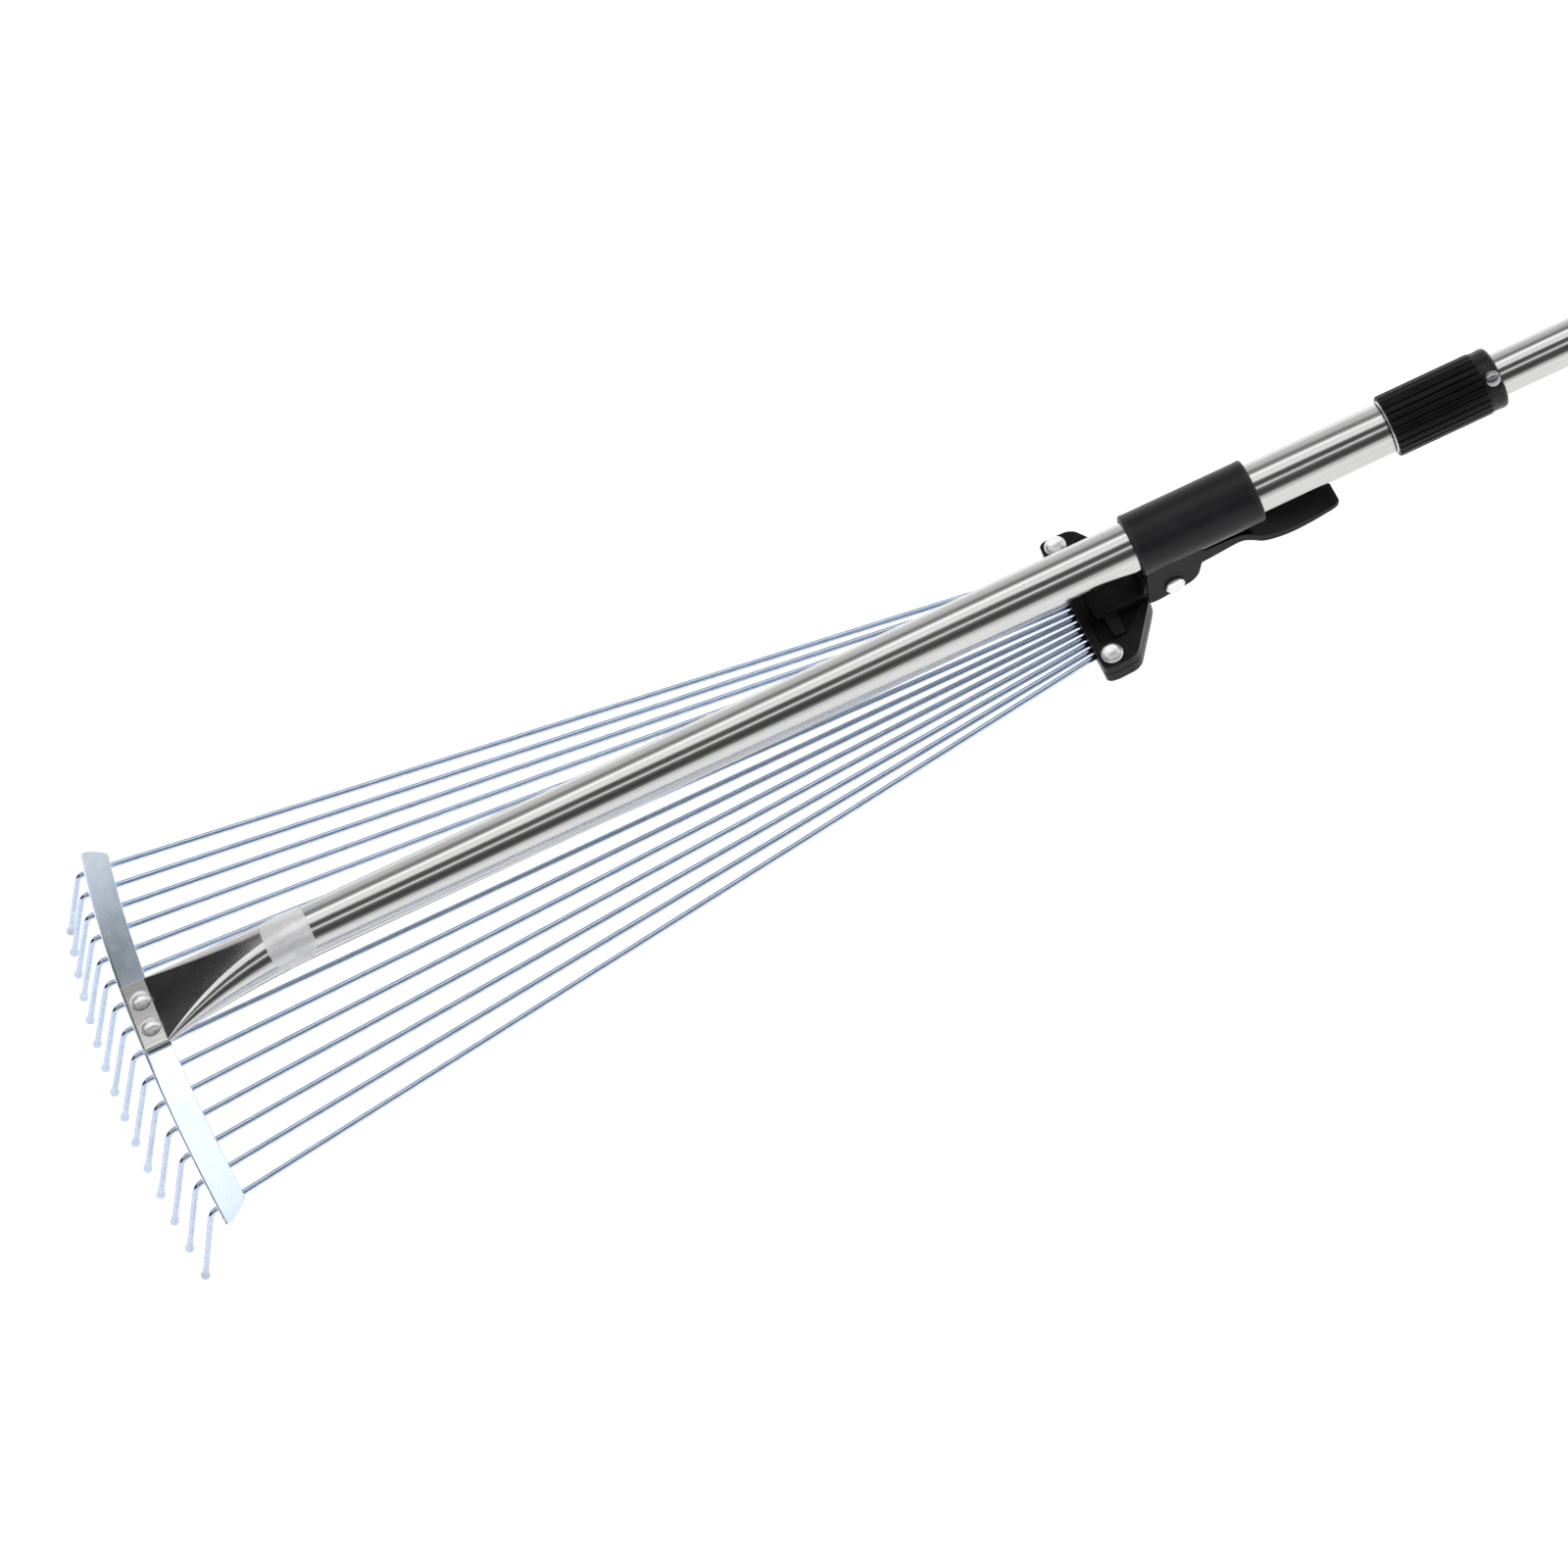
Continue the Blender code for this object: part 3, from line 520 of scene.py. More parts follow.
def slot_window(k):
    """Low and high corner of the window that tine k moves in."""
    pivot, slot, line = tine_line(k)
    wide, long = slot.y - pivot.y, pivot.x - slot.x
    start, stop = math.atan2(wide, long), math.atan2(wide, long - SLIDE_TRAVEL)
    error = max(((long - SLIDE_TRAVEL * f) * math.tan(start + (stop - start) * f) - wide
                 for f in (i / 20 for i in range(21))), key=abs)
    side = TINE_R + 0.0004
    sink = line.z / math.hypot(line.x, line.y) * SLIDE_TRAVEL
    return ((slot.x - 0.004, slot.y - side + min(error, 0), slot.z - sink - TINE_R - 0.0006),
            (slot.x + 0.0016, slot.y + side + max(error, 0), slot.z + TINE_R + 0.0004))


rows = [-BAR_HALF + BAR_SLANT * i / 8 for i in range(8)]
inside_half = BAR_HALF - BAR_SLANT
BAR_STEPS = 88
middle_rows = [-inside_half + 2 * inside_half * i / BAR_STEPS for i in range(BAR_STEPS + 1)]
stations = rows + middle_rows + [-y for y in reversed(rows)]
bar = ring_loft("crossbar_strip", [bar_section(y) for y in stations])
bar = cut_by(bar, [box_mesh(*slot_window(k), bevel=0.0007) for k in range(-HALF, HALF + 1)])
piece("crossbar_strip", bar, "tube_and_bar", BAR_LOOK, ("crossbar",), smooth=28)

# Domed rivets through the tab
for side, sign in (("far", 1), ("near", -1)):
    dome = [(0, 0.00250), (0.0009, 0.00243), (0.0018, 0.00220), (0.0027, 0.00180), (0.0035, 0.00120),
            (0.0041, 0.00062), (0.0045, 0.00018), (0.0045, 0), (0.0020, 0), (0.0020, -0.0037),
            (0.0032, -0.0037), (0.0031, -0.0042), (0, -0.0044)]
    seat = (TAB_RIVET_AT[0], sign * TAB_RIVET_AT[1], TAB_RIVET_SEAT_Z)
    piece(f"tab_rivet_{side}", spun("rivet", dome, seat, (0, 0, 1), 64), "tube_and_bar", RIVET_LOOK,
          (f"bar_rivet_{side}",))


# Label: a thin foil strip with rounded ends
LABEL_STEPS = 72


def label_row(i):
    """One ring of the strip, across the tube's length, at step i round the tube."""
    w = 2 * i / LABEL_STEPS - 1
    angle = LABEL_ANGLE + LABEL_HALF_TURN * w
    half_x = LABEL_HALF_X * math.sqrt(1 - 0.94 * abs(w) ** 3)
    along = [LABEL_X + half_x * (2 * j / 12 - 1) for j in range(13)]
    return ([tube_point(x, angle, 0.00012) for x in along]
            + [tube_point(x, angle, 0.00030) for x in reversed(along)])


piece("foil_label", ring_loft("foil_label", [label_row(i) for i in range(LABEL_STEPS + 1)]), "tube_and_bar",
      foil("label_foil"), ("label",), smooth=50)


# ---------------------------------------------------------------- tines
def tine_path(k):
    """Centre points and radii from the foot of the pin to the ball, about the layout point."""
    pivot, _, line = tine_line(k)
    level = Vector((line.x, line.y, 0)).normalized()
    down = Vector((level.x * line.z, level.y * line.z, -level.dot(line)))
    points = [(Vector((0, 0, -TINE_R - PIN_LENGTH)), PIN_R), (Vector((0, 0, -TINE_R - 0.0004)), PIN_R)]
    points += [(Vector((0, 0, -0.0009)), TINE_R * 0.9), (line * 0.0008, TINE_R)]
    turn = math.pi / 2 - HOOK_LEAN
    straight = (HOOK_DEPTH - HOOK_BEND_R * (1 - math.cos(turn))) / math.sin(turn)
    start = TINE_REACH - HOOK_BEND_R * math.sin(turn) - straight * math.cos(turn)
    points += [(line * (0.0008 + (start - 0.0008) * i / 12), TINE_R) for i in range(1, 12)]
    for i in range(19):
        a = turn * i / 18
        squeeze = 1 - 0.05 * math.sin(math.pi * i / 18)
        points.append((line * (start + HOOK_BEND_R * math.sin(a)) + down * HOOK_BEND_R * (1 - math.cos(a)),
                       TINE_R * squeeze))
    tip = line * TINE_REACH + down * HOOK_DEPTH
    fall = (tip - points[-1][0]).normalized()
    for step, radius in ((-3.2, 0.655), (-1.9, 0.655), (-1.35, 0.70), (-0.95, 0.80), (-0.5, 0.94), (0, 1.0),
                         (0.4, 0.92), (0.72, 0.69), (0.92, 0.40), (1.0, 0.12)):
        points.append((tip + fall * BALL_R * step, BALL_R * radius))
    return [(pivot + co, r) for co, r in points]


def wire_mesh(name, points):
    """Rings carried along the path without twist."""
    sides = 20
    rings = []
    centres = [p for p, _ in points]
    axis = (centres[1] - centres[0]).normalized()
    side = axis.orthogonal().normalized()
    for i, (centre, radius) in enumerate(points):
        ahead = centres[min(i + 1, len(centres) - 1)] - centres[max(i - 1, 0)]
        direction = ahead.normalized()
        side = (side - direction * side.dot(direction)).normalized()
        other = direction.cross(side)
        rings.append([centre + side * radius * math.cos(a) + other * radius * math.sin(a)
                      for a in (2 * math.pi * s / sides for s in range(sides))])
    return ring_loft(name, rings)


STAINED_TINE = 13
for k in range(-HALF, HALF + 1):
    number = HALF - k + 1
    node = f"tine_{number:02d}"
    body = "slider" if k == 0 else f"{node}_wire"
    look = zinc_wire(f"zinc_wire_{number:02d}", number * 0.7, 0.45 if number == STAINED_TINE else 0.0)
    piece(f"wire_{number:02d}", wire_mesh(node, tine_path(k)), body, look, (node,), smooth=60)


# ---------------------------------------------------------------- slider
LENGTH = COLLAR_REAR_X - COLLAR_FRONT_X
bore = TUBE_R + GAP
collar = [(COLLAR_R - 0.0010, 0), (COLLAR_R - 0.0004, 0.0002), (COLLAR_R, 0.0008), (COLLAR_R, 0.0018),
          (COLLAR_R - 0.00012, 0.0026), (COLLAR_R - 0.00012, LENGTH - 0.0030), (COLLAR_R, LENGTH - 0.0022),
          (COLLAR_R, LENGTH - 0.0009), (COLLAR_R - 0.0004, LENGTH - 0.0002), (COLLAR_R - 0.0010, LENGTH),
          (bore + 0.0004, LENGTH), (bore, LENGTH - 0.0005), (bore, 0.0005), (bore + 0.0004, 0)]
tube_bore = ((0.40, 0, TUBE_Z), (0.56, 0, TUBE_Z), bore)
pin_bore = ((LEVER_PIN[0], -0.03, LEVER_PIN[1]), (LEVER_PIN[0], 0.03, LEVER_PIN[1]),
            LEVER_PIN_R + PIN_CLEARANCE)
CAM_WINDOW = ((0.4556, -0.0086, -0.0300), (0.4745, 0.0086, -0.0015))
collar = cut_by(spun("collar", collar, (COLLAR_FRONT_X, 0, TUBE_Z), (1, 0, 0), 144, closed=True),
                [box_mesh(*CAM_WINDOW)])
piece("collar", collar, "slider", BLACK_COLLAR_PAINTED_LIT, ("slider_body",), smooth=50)

CHEEK = [(0.4520, -0.0195), (0.4560, -0.0200), (0.4720, -0.0178), (0.4755, -0.0150), (0.4800, -0.0030),
         (0.4800, 0.0010), (0.4545, 0.0010)]
for side, sign in (("far", 1), ("near", -1)):
    ends = sorted((sign * CHEEK_IN, sign * CHEEK_OUT))
    cheek = cut_by(slab("cheek", rounded(CHEEK, 0.0022), *ends, plane="XZ"),
                   [drill(*pin_bore), drill(*tube_bore, sides=96)])
    piece(f"cheek_{side}", cheek, "slider", BLACK, bevel=0.0005)
    boss = [(0.0050, 0), (0.0048, 0.00022), (0.0040, 0.00030), (0, 0.00030)]
    seat = (LEVER_PIN[0], sign * CHEEK_OUT, LEVER_PIN[1])
    piece(f"pin_boss_{side}", spun("boss", boss, seat, (0, sign, 0), 48), "slider", BLACK)


def holder_outline():
    right = [(0.4225, 0.0335), (0.4240, 0.0348), (0.4275, 0.0354), (0.4355, 0.0350), (0.4386, 0.0334),
             (0.4498, 0.0170), (0.4530, 0.0120)]
    return rounded(right + [(x, -y) for x, y in reversed(right)], 0.0016, 4)


# Upper half of the tine holder: plate, raised rim, pedestal under the tube, ribs and rivet lobes
SPLIT = PIVOT_Z
SEAM = 0.00015
RECESS_Z = PLATE_TOP_Z - 0.0012
ROOM = [(0.4200, -0.0282), (0.4200, 0.0282), (0.4362, 0.0243), (0.4362, -0.0243)]
RECESS = [(0.4262, -0.0232), (0.4375, -0.0232), (0.4490, -0.0125), (0.4490, 0.0125), (0.4375, 0.0232),
          (0.4262, 0.0232)]
plate = cut_by(slab("holder_plate", holder_outline(), SPLIT + SEAM, PLATE_TOP_Z), [
    slab("room", ROOM, SPLIT - 0.003, SPLIT + TINE_R + 2.5 * GAP),
    slab("recess", rounded(RECESS, 0.0016), RECESS_Z, PLATE_TOP_Z + 0.002)])
piece("holder_plate", plate, "slider", BLACK, bevel=0.00035, smooth=30)
RIB, RIB_TOP_Z = [(0.4320, 0.0105), (0.4384, 0.0105), (0.4380, 0.0232), (0.4326, 0.0232)], -0.0138
PEDESTAL, PEDESTAL_TOP_Z = [(0.4290, -0.0122), (0.4540, -0.0122), (0.4540, 0.0122), (0.4290, 0.0122)], -0.0126
SINK = 0.0004
for side, sign in (("far", 1), ("near", -1)):
    lobe = [(0.0052, -0.0044), (0.0052, -0.0008), (0.0049, -0.0002), (0.0044, 0), (0, 0)]
    seat = (RIVET_AT[0], sign * RIVET_AT[1], RIVET_SEAT_Z)
    piece(f"rivet_lobe_{side}", spun("lobe", lobe, seat, (0, 0, 1), 64), "slider", BLACK)
    rib = slab("rib", rounded(RIB, 0.0008), RECESS_Z - SINK, RIB_TOP_Z)
    rib.transform(Matrix.Scale(sign, 4, (0, 1, 0)))
    if sign < 0:
        rib.flip_normals()
    piece(f"holder_rib_{side}", rib, "slider", BLACK, bevel=0.0004)
pedestal = slab("pedestal", rounded(PEDESTAL, 0.0024), RECESS_Z - SINK, PEDESTAL_TOP_Z)
piece("pedestal", pedestal, "slider", BLACK, bevel=0.0009)
NECK_HALF = 0.0119
NECK = [(0.4505, -0.0200), (0.4552, -0.0200), (0.4552, -0.0060), (0.4528, -0.0060), (0.4505, -0.0120)]
neck = slab("neck", rounded(NECK, 0.0008), -NECK_HALF, NECK_HALF, plane="XZ")
piece("neck", neck, "slider", BLACK, bevel=0.0005)

# Lower half
socket_z = SPLIT - TINE_R - PIN_LENGTH - 0.0004
sockets = [drill((PIVOT_X, k * PIVOT_PITCH, socket_z), (PIVOT_X, k * PIVOT_PITCH, SPLIT), PIN_R + GAP, 20)
           for k in range(-HALF, HALF + 1)]
cover = cut_by(slab("cover_plate", holder_outline(), PLATE_BOTTOM_Z, SPLIT - SEAM),
               [slab("room", ROOM, SPLIT - TINE_R - GAP, SPLIT + 0.003), *sockets])
piece("cover_plate", cover, "slider", BLACK, ("tine_cover",), bevel=0.0004, smooth=30)

for side, sign in (("far", 1), ("near", -1)):
    head = [(0, 0.00118), (0.0014, 0.00122), (0.0024, 0.00150), (0.0031, 0.00152), (0.0040, 0.00092),
            (0.0046, 0.00022), (0.0047, 0), (0.0020, 0), (0.0020, -0.0118), (0.0034, -0.0119),
            (0.0033, -0.0124), (0, -0.0127)]
    seat = (RIVET_AT[0], sign * RIVET_AT[1], RIVET_SEAT_Z + GAP)
    piece(f"holder_dome_{side}", spun("dome", head, seat, (0, 0, 1), 64), "slider", RIVET_LOOK,
          (f"holder_rivet_{side}",))

pin = [(0, 0.00165), (0.0016, 0.00162), (0.0030, 0.00150), (0.0038, 0.00120), (0.0042, 0.00070),
       (0.0042, 0.0001), (0.0040, 0), (LEVER_PIN_R, 0), (LEVER_PIN_R, -0.0264), (0.0019, -0.0270),
       (0, -0.0272)]
seat = (LEVER_PIN[0], -CHEEK_OUT - GAP, LEVER_PIN[1])
piece("pin_and_head", spun("pin", pin, seat, (0, -1, 0), 64), "slider", RIVET_LOOK,
      ("lever_pin",))
CLIP_R, CLIP_LOBE_R, CLIP_GRIP_R = 0.0040, 0.0029, 0.0024
clip_outline = []
CLIP_ARCS = [(CLIP_R, 30, 330, 30), (CLIP_GRIP_R, 330, 250, 8), (CLIP_LOBE_R, 240, 200, 5),
             (CLIP_GRIP_R, 190, 170, 3), (CLIP_LOBE_R, 160, 120, 5), (CLIP_GRIP_R, 110, 30, 8)]
for radius, start, stop, steps in CLIP_ARCS:
    clip_outline += arc(*LEVER_PIN, radius, start, stop, steps)
piece("spring_clip", slab("clip", clip_outline, CHEEK_OUT + 0.0004, CHEEK_OUT + 0.0012, plane="XZ"), "slider",
      RIVET_LOOK, ("pin_clip",), bevel=0.00012)


# ---------------------------------------------------------------- cam lever
def lever_section(x, half_w, top, bottom, dish):
    ring = []
    steps = 10
    for i in range(steps + 1):
        y = half_w * (2 * i / steps - 1)
        ring.append((x, y, top - dish * (1 - (y / half_w) ** 2)))
    for i in range(steps + 1):
        y = half_w * (1 - 2 * i / steps)
        ring.append((x, y, bottom - dish * (1 - (y / half_w) ** 2)))
    return ring


LEVER = [(0.4646, 0.0078, -0.0110, -0.0190, 0.0), (0.4760, 0.0078, -0.0082, -0.0160, 0.0),
         (0.4870, 0.0080, -0.0081, -0.0142, 0.0), (0.4965, 0.0084, -0.0081, -0.0126, 0.0002),
         (0.5010, 0.0100, -0.0083, -0.0126, 0.0008), (0.5055, 0.0120, -0.0096, -0.0138, 0.0018),
         (0.5120, 0.0127, -0.0112, -0.0150, 0.0026), (0.5190, 0.0128, -0.0121, -0.0156, 0.0028),
         (0.5270, 0.0128, -0.0120, -0.0150, 0.0026), (0.5335, 0.0126, -0.0115, -0.0142, 0.0020),
         (0.5375, 0.0122, -0.0115, -0.0140, 0.0013), (0.5397, 0.0114, -0.0118, -0.0139, 0.0008),
         (0.5408, 0.0100, -0.0122, -0.0138, 0.0003)]


def between(rows, steps=5):
    """Smooth rows between the given ones."""
    out = []
    for i in range(len(rows) - 1):
        p0, p1, p2, p3 = rows[max(i - 1, 0)], rows[i], rows[i + 1], rows[min(i + 2, len(rows) - 1)]
        for s in range(steps):
            t = s / steps
            out.append(tuple(0.5 * (2 * b + (c - a) * t + (2 * a - 5 * b + 4 * c - d) * t * t
                                    + (3 * b - a - 3 * c + d) * t ** 3)
                             for a, b, c, d in zip(p0, p1, p2, p3)))
    return out + [rows[-1]]


arm = cut_by(ring_loft("lever_arm", [lever_section(*row) for row in between(LEVER)]), [drill(*pin_bore)])
piece("lever_arm", arm, "lever", BLACK, ("cam_lever",), bevel=0.00045, smooth=35)
CAM_R = TUBE_Z - TUBE_R - GAP - LEVER_PIN[1] - CAM_OFFSET
cam = [(0, 0.0078), (CAM_R - 0.0004, 0.0078), (CAM_R, 0.0074), (CAM_R, -0.0074), (CAM_R - 0.0004, -0.0078),
       (0, -0.0078)]
seat = (LEVER_PIN[0], 0, LEVER_PIN[1] + CAM_OFFSET)
cam = cut_by(spun("cam", cam, seat, (0, 1, 0), 72), [drill(*pin_bore)])
piece("cam_disc", cam, "lever", BLACK)

# ---------------------------------------------------------------- twist-lock sleeve
RIBS, RIB_STEPS = 26, 14


def sleeve_ring(x, grow, depth):
    """A ribbed ring: rounded crests with narrow grooves between."""
    out = []
    for i in range(RIBS * RIB_STEPS):
        a = 2 * math.pi * i / (RIBS * RIB_STEPS)
        phase = (i % RIB_STEPS) / RIB_STEPS
        groove = max(0.0, 1 - abs(phase - 0.5) / 0.20)
        radius = SLEEVE_R + grow - depth * (groove * groove * (3 - 2 * groove))
        out.append((x, radius * math.cos(a), TUBE_Z + radius * math.sin(a)))
    return out


def round_ring(x, radius):
    count = RIBS * RIB_STEPS
    angles = [2 * math.pi * i / count for i in range(count)]
    return [(x, radius * math.cos(a), TUBE_Z + radius * math.sin(a)) for a in angles]


F, E = SLEEVE_FRONT_X, SLEEVE_RIB_END_X
ribs = [round_ring(F + 0.0006, TUBE_R + GAP), round_ring(F, TUBE_R + GAP + 0.0004),
        sleeve_ring(F, -0.0010, 0.0002), sleeve_ring(F + 0.0003, -0.0003, 0.0006),
        sleeve_ring(F + 0.0010, 0, 0.0008)]
ribs += [sleeve_ring(F + 0.0010 + (E - F - 0.0020) * i / 8, 0, 0.0008) for i in range(1, 9)]
ribs += [sleeve_ring(E - 0.0004, -0.0002, 0.0007), sleeve_ring(E, -0.0007, 0.0002),
         round_ring(E, TUBE_R + GAP)]
piece("sleeve_ribs", ring_loft("sleeve_ribs", ribs, closed=True), "tube_and_bar", BLACK,
      ("lock_sleeve",), smooth=60)
rear = [(0.0110, -0.0004), (0.0129, -0.0002), (0.0131, 0.0006), (0.0130, 0.0024), (0.0132, 0.0048),
        (0.0131, 0.0061), (0.0125, 0.0072), (0.0114, 0.0077), (UPPER_R + 0.0009, 0.0077),
        (UPPER_R + GAP, 0.0071), (UPPER_R + GAP, -0.0004)]
seat = (SLEEVE_REAR_X - 0.0078, 0, TUBE_Z)
piece("sleeve_ring", spun("sleeve_ring", rear, seat, (1, 0, 0), 128, closed=True), "tube_and_bar",
      embossed("embossed_ring"), smooth=55)
lip = [(TUBE_R + 0.00012, -0.0004), (TUBE_R + 0.00035, -0.0003), (TUBE_R + 0.0005, 0.0002),
       (TUBE_R + 0.00012, 0.0002)]
piece("sleeve_lip", spun("sleeve_lip", lip, (SLEEVE_FRONT_X, 0, TUBE_Z), (1, 0, 0), 128, closed=True),
      "tube_and_bar", RIVET_LOOK, smooth=50)
radial = Vector((0, math.cos(STUD_ANGLE), math.sin(STUD_ANGLE)))
stud = [(0, 0.00170), (0.0007, 0.00165), (0.0014, 0.00148), (0.0021, 0.00118), (0.0027, 0.00075),
        (0.0031, 0.00030), (0.0034, -0.0002), (0.0034, -0.0008), (0, -0.0008)]
seat = Vector((STUD_X, 0, TUBE_Z)) + radial * STUD_SEAT_R
piece("stud_dome", spun("stud", stud, seat, radial, 64), "tube_and_bar", BLACK_GLOSS,
      ("sleeve_stud",), smooth=60)

# ---------------------------------------------------------------- upper tube, grip and eye
UPPER_LONG, UPPER_EDGE = UPPER_REAR_X - UPPER_FRONT_X, 0.0002
upper = [(UPPER_R - UPPER_EDGE, 0), (UPPER_R, UPPER_EDGE)]
upper += [(UPPER_R, UPPER_LONG * i / 10) for i in range(1, 10)]
upper += [(UPPER_R, UPPER_LONG - UPPER_EDGE), (UPPER_R - UPPER_EDGE, UPPER_LONG),
          (UPPER_R - UPPER_WALL, UPPER_LONG), (UPPER_R - UPPER_WALL, 0)]
piece("upper_tube_skin", spun("upper", upper, (UPPER_FRONT_X, 0, TUBE_Z), (1, 0, 0), 128, closed=True),
      "upper_handle", polished_tube("polished_upper"), ("upper_tube",), smooth=40)

GRIP_LONG = GRIP_REAR_X - GRIP_FRONT_X
GRIP_GROOVES, GROOVE_START, GROOVE_PITCH = 17, 0.0168, 0.0052
grip = [(UPPER_R + GAP, 0.0003), (0.0118, 0), (0.0126, 0.0006), (0.0138, 0.0032), (GRIP_R, 0.0052),
        (GRIP_R, 0.0106), (0.0139, 0.0124), (0.0134, 0.0140)]
for i in range(GRIP_GROOVES):
    x = GROOVE_START + GROOVE_PITCH * i
    grip += [(0.0130, x - 0.0016), (0.01285, x - 0.0010), (0.0134, x - 0.0002), (0.0137, x + 0.0010),
             (0.0137, x + 0.0020), (0.0134, x + 0.0030)]
grip += [(0.0136, 0.1062), (GRIP_R, 0.1082), (GRIP_R, 0.1150), (0.0138, 0.1172), (0.0130, GRIP_LONG - 0.0004),
         (0.0124, GRIP_LONG), (UPPER_R + GAP, GRIP_LONG)]
piece("grip_sleeve", spun("grip", grip, (GRIP_FRONT_X, 0, TUBE_Z), (1, 0, 0), 112, closed=True),
      "upper_handle", rubber("grip_rubber_look"), ("grip",), smooth=50)

shape = [(EYE_X + EYE_R * math.cos(math.radians(d)), TUBE_Z + EYE_R * math.sin(math.radians(d)))
         for d in range(-116, 117, 4)]
shape += [(GRIP_REAR_X + GAP, TUBE_Z + 0.0100), (GRIP_REAR_X + GAP, TUBE_Z - 0.0100)]
EYE_HALF = 0.0045
hole = drill((EYE_X, -0.02, TUBE_Z), (EYE_X, 0.02, TUBE_Z), EYE_HOLE_R, 72)
eye = cut_by(slab("eye", shape, -EYE_HALF, EYE_HALF, plane="XZ"), [hole])
piece("eye_cap", eye, "upper_handle", BLACK, ("hang_eye",), bevel=0.0009, smooth=30)
flange = [(0, -0.012), (0.0080, -0.012), (0.0080, 0), (0.0098, 0.00035), (0.0104, 0.0010), (0.0104, 0.0022),
          (0.0098, 0.0030), (0, 0.0032)]
piece("eye_flange", spun("flange", flange, (GRIP_REAR_X, 0, TUBE_Z), (1, 0, 0), 72), "upper_handle", BLACK,
      smooth=40)

# The lock inside the tubes keeps its CAD shape, with better finishes
NYLON = nylon("natural_nylon")
inner_looks = {"tube_plug": NYLON, "lock_expander": NYLON, "lock_cone": NYLON, "lock_screw": RIVET_LOOK}
for node, look in inner_looks.items():
    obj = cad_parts[node]
    obj.data.materials.clear()
    obj.data.materials.append(look)


# ---------------------------------------------------------------- floor, light and camera
FLOOR_HALF, FLOOR_Z = 30, -0.0006
ground = bmesh.new()
bmesh.ops.create_grid(ground, x_segments=8, y_segments=8, size=FLOOR_HALF)
floor_obj = bpy.data.objects.new("studio_floor", to_mesh("studio_floor", ground))
bpy.context.scene.collection.objects.link(floor_obj)
floor_obj.location = (0, 0, FLOOR_Z)
floor_look = Look("studio_white")
clouds = floor_look.noise((3, 3, 3), 2, 0.5)
floor_look.base(floor_look.colours(clouds, [(0.3, (0.30, 0.30, 0.30)), (0.7, (0.33, 0.33, 0.33))]))
floor_look.shader.inputs["Roughness"].default_value = 0.8
floor_look.shader.inputs["Specular IOR Level"].default_value = 0.1
floor_look.shader.inputs["Emission Color"].default_value = (1, 1, 1, 1)
floor_look.shader.inputs["Emission Strength"].default_value = 0.93
floor_obj.data.materials.append(floor_look.mat)

# Soft surroundings: long pale panels with dim gaps, laid along the handle, as (degrees round it, brightness)
PANELS = [(0, 0.85), (22, 0.82), (32, 0.62), (42, 0.26), (53, 0.34), (60, 1.05), (63, 1.9), (68, 1.6),
          (74, 1.25), (94, 1.25), (97.5, 0.12), (116, 0.09), (120, 0.9), (125, 1.3), (130, 0.16), (145, 0.06),
          (161, 0.14), (170, 0.9), (180, 1.0)]
# The ramp holds colours up to 1, so the levels are divided by this in it and multiplied by it in the strength
RAMP_SCALE = 2
world = bpy.data.worlds.new("studio")
bpy.context.scene.world = world
world.use_nodes = True
sky = world.node_tree
split = sky.nodes.new("ShaderNodeSeparateXYZ")
sky.links.new(sky.nodes.new("ShaderNodeTexCoord").outputs["Generated"], split.inputs[0])
turn = calculate(sky, "ARCTAN2", split.outputs["Z"], split.outputs["Y"])
half_turns = map_range(sky, turn, 0, math.pi, 0, 1)
panels = colour_ramp(sky, half_turns, [(angle / 180, (level / RAMP_SCALE,) * 3) for angle, level in PANELS])
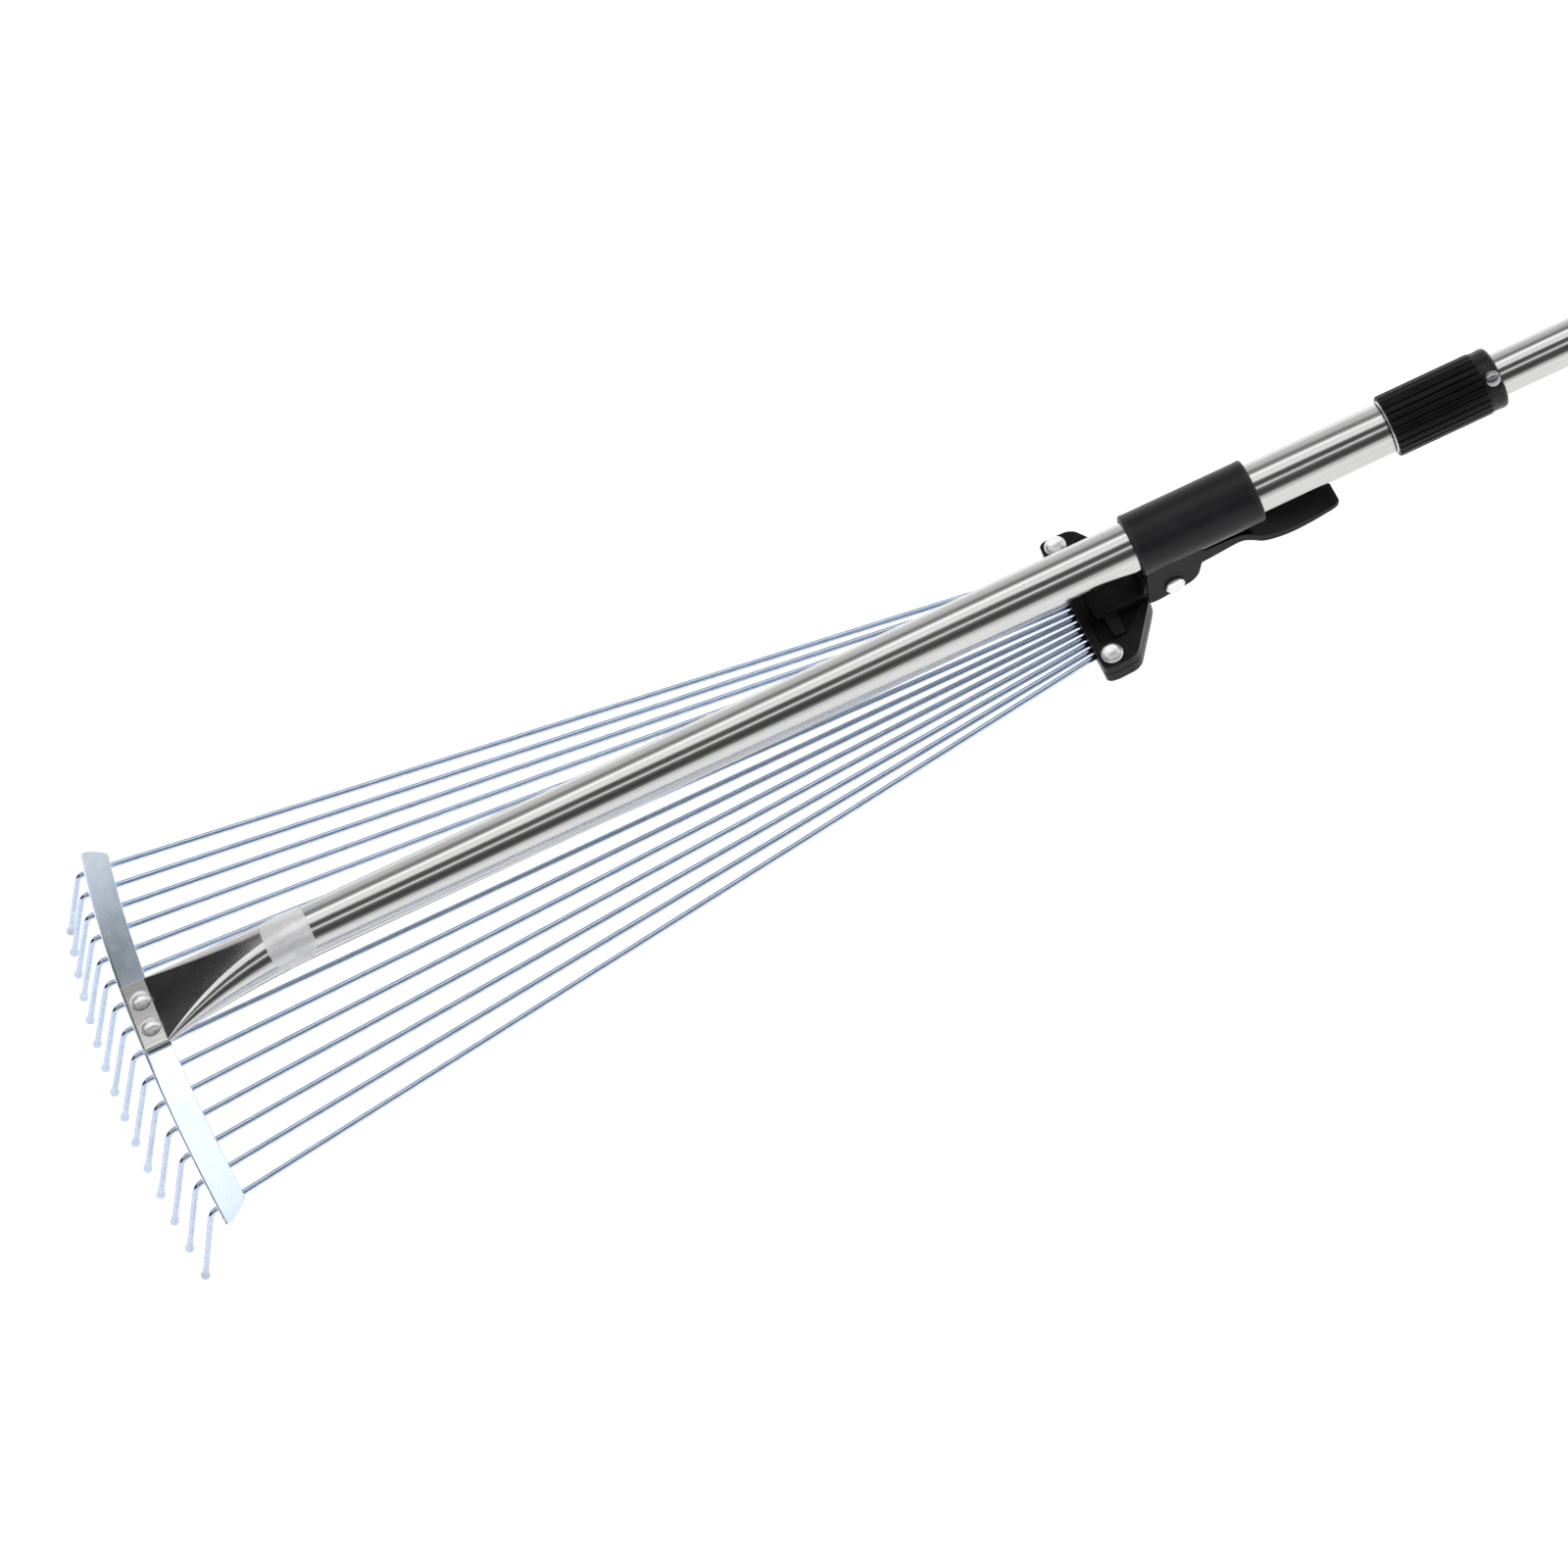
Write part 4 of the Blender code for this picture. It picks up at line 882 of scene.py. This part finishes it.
# The dim part in front reaches over a band only: pale panels stay on both sides of it
front = map_range(sky, split.outputs["X"], -0.36, -0.14, 0.10, 1.0)
near_side = map_range(sky, split.outputs["Y"], 0.36, 0.46, 1.0, front)
far_side = map_range(sky, split.outputs["Y"], 0.68, 0.82, near_side, 1.0)
ahead_dim = map_range(sky, split.outputs["X"], -0.86, -0.74, 0.1 * RAMP_SCALE, RAMP_SCALE)
back = sky.nodes["Background"]
sky.links.new(panels, back.inputs["Color"])
sky.links.new(calculate(sky, "MULTIPLY", far_side, ahead_dim), back.inputs["Strength"])

LAMPS = (("key", (0.1, 1.0, 2.4), (2.2, 0.30), 14), ("fill", (0.25, -1.45, 2.25), (1.1, 0.8), 20))
for name, place, size, energy in LAMPS:
    light = bpy.data.lights.new(name, "AREA")
    light.shape, light.size, light.size_y, light.energy = "RECTANGLE", size[0], size[1], energy
    lamp = bpy.data.objects.new(name, light)
    lamp.location = place
    lamp.rotation_euler = (-Vector(place)).to_track_quat("-Z", "Y").to_euler()
    lamp.visible_glossy = False
    bpy.context.scene.collection.objects.link(lamp)

# Camera, from the same layout point as the pieces
AZIMUTH, ELEVATION, ROLL = math.radians(2.075), math.radians(57.426), math.radians(-23.33)
CAMERA_AT, LENS_MM, SENSOR_MM = Vector((0.23646, -1.32974, 2.03723)), 136.15, 36
flat = math.cos(ELEVATION)
ahead = Vector((math.sin(AZIMUTH) * flat, math.cos(AZIMUTH) * flat, -math.sin(ELEVATION)))
level_right = Vector((math.cos(AZIMUTH), -math.sin(AZIMUTH), 0))
level_up = level_right.cross(ahead)
right = level_right * math.cos(ROLL) + level_up * math.sin(ROLL)
up = level_up * math.cos(ROLL) - level_right * math.sin(ROLL)
camera = bpy.data.cameras.new("photo_camera")
camera.lens, camera.sensor_width = LENS_MM, SENSOR_MM
view = bpy.data.objects.new("photo_camera", camera)
bpy.context.scene.collection.objects.link(view)
turned = Matrix((right, up, -ahead)).transposed().to_4x4()
view.matrix_world = Matrix.Translation(ORIGIN + CAMERA_AT) @ turned
bpy.context.scene.camera = view
bpy.context.scene.view_settings.view_transform = "Standard"
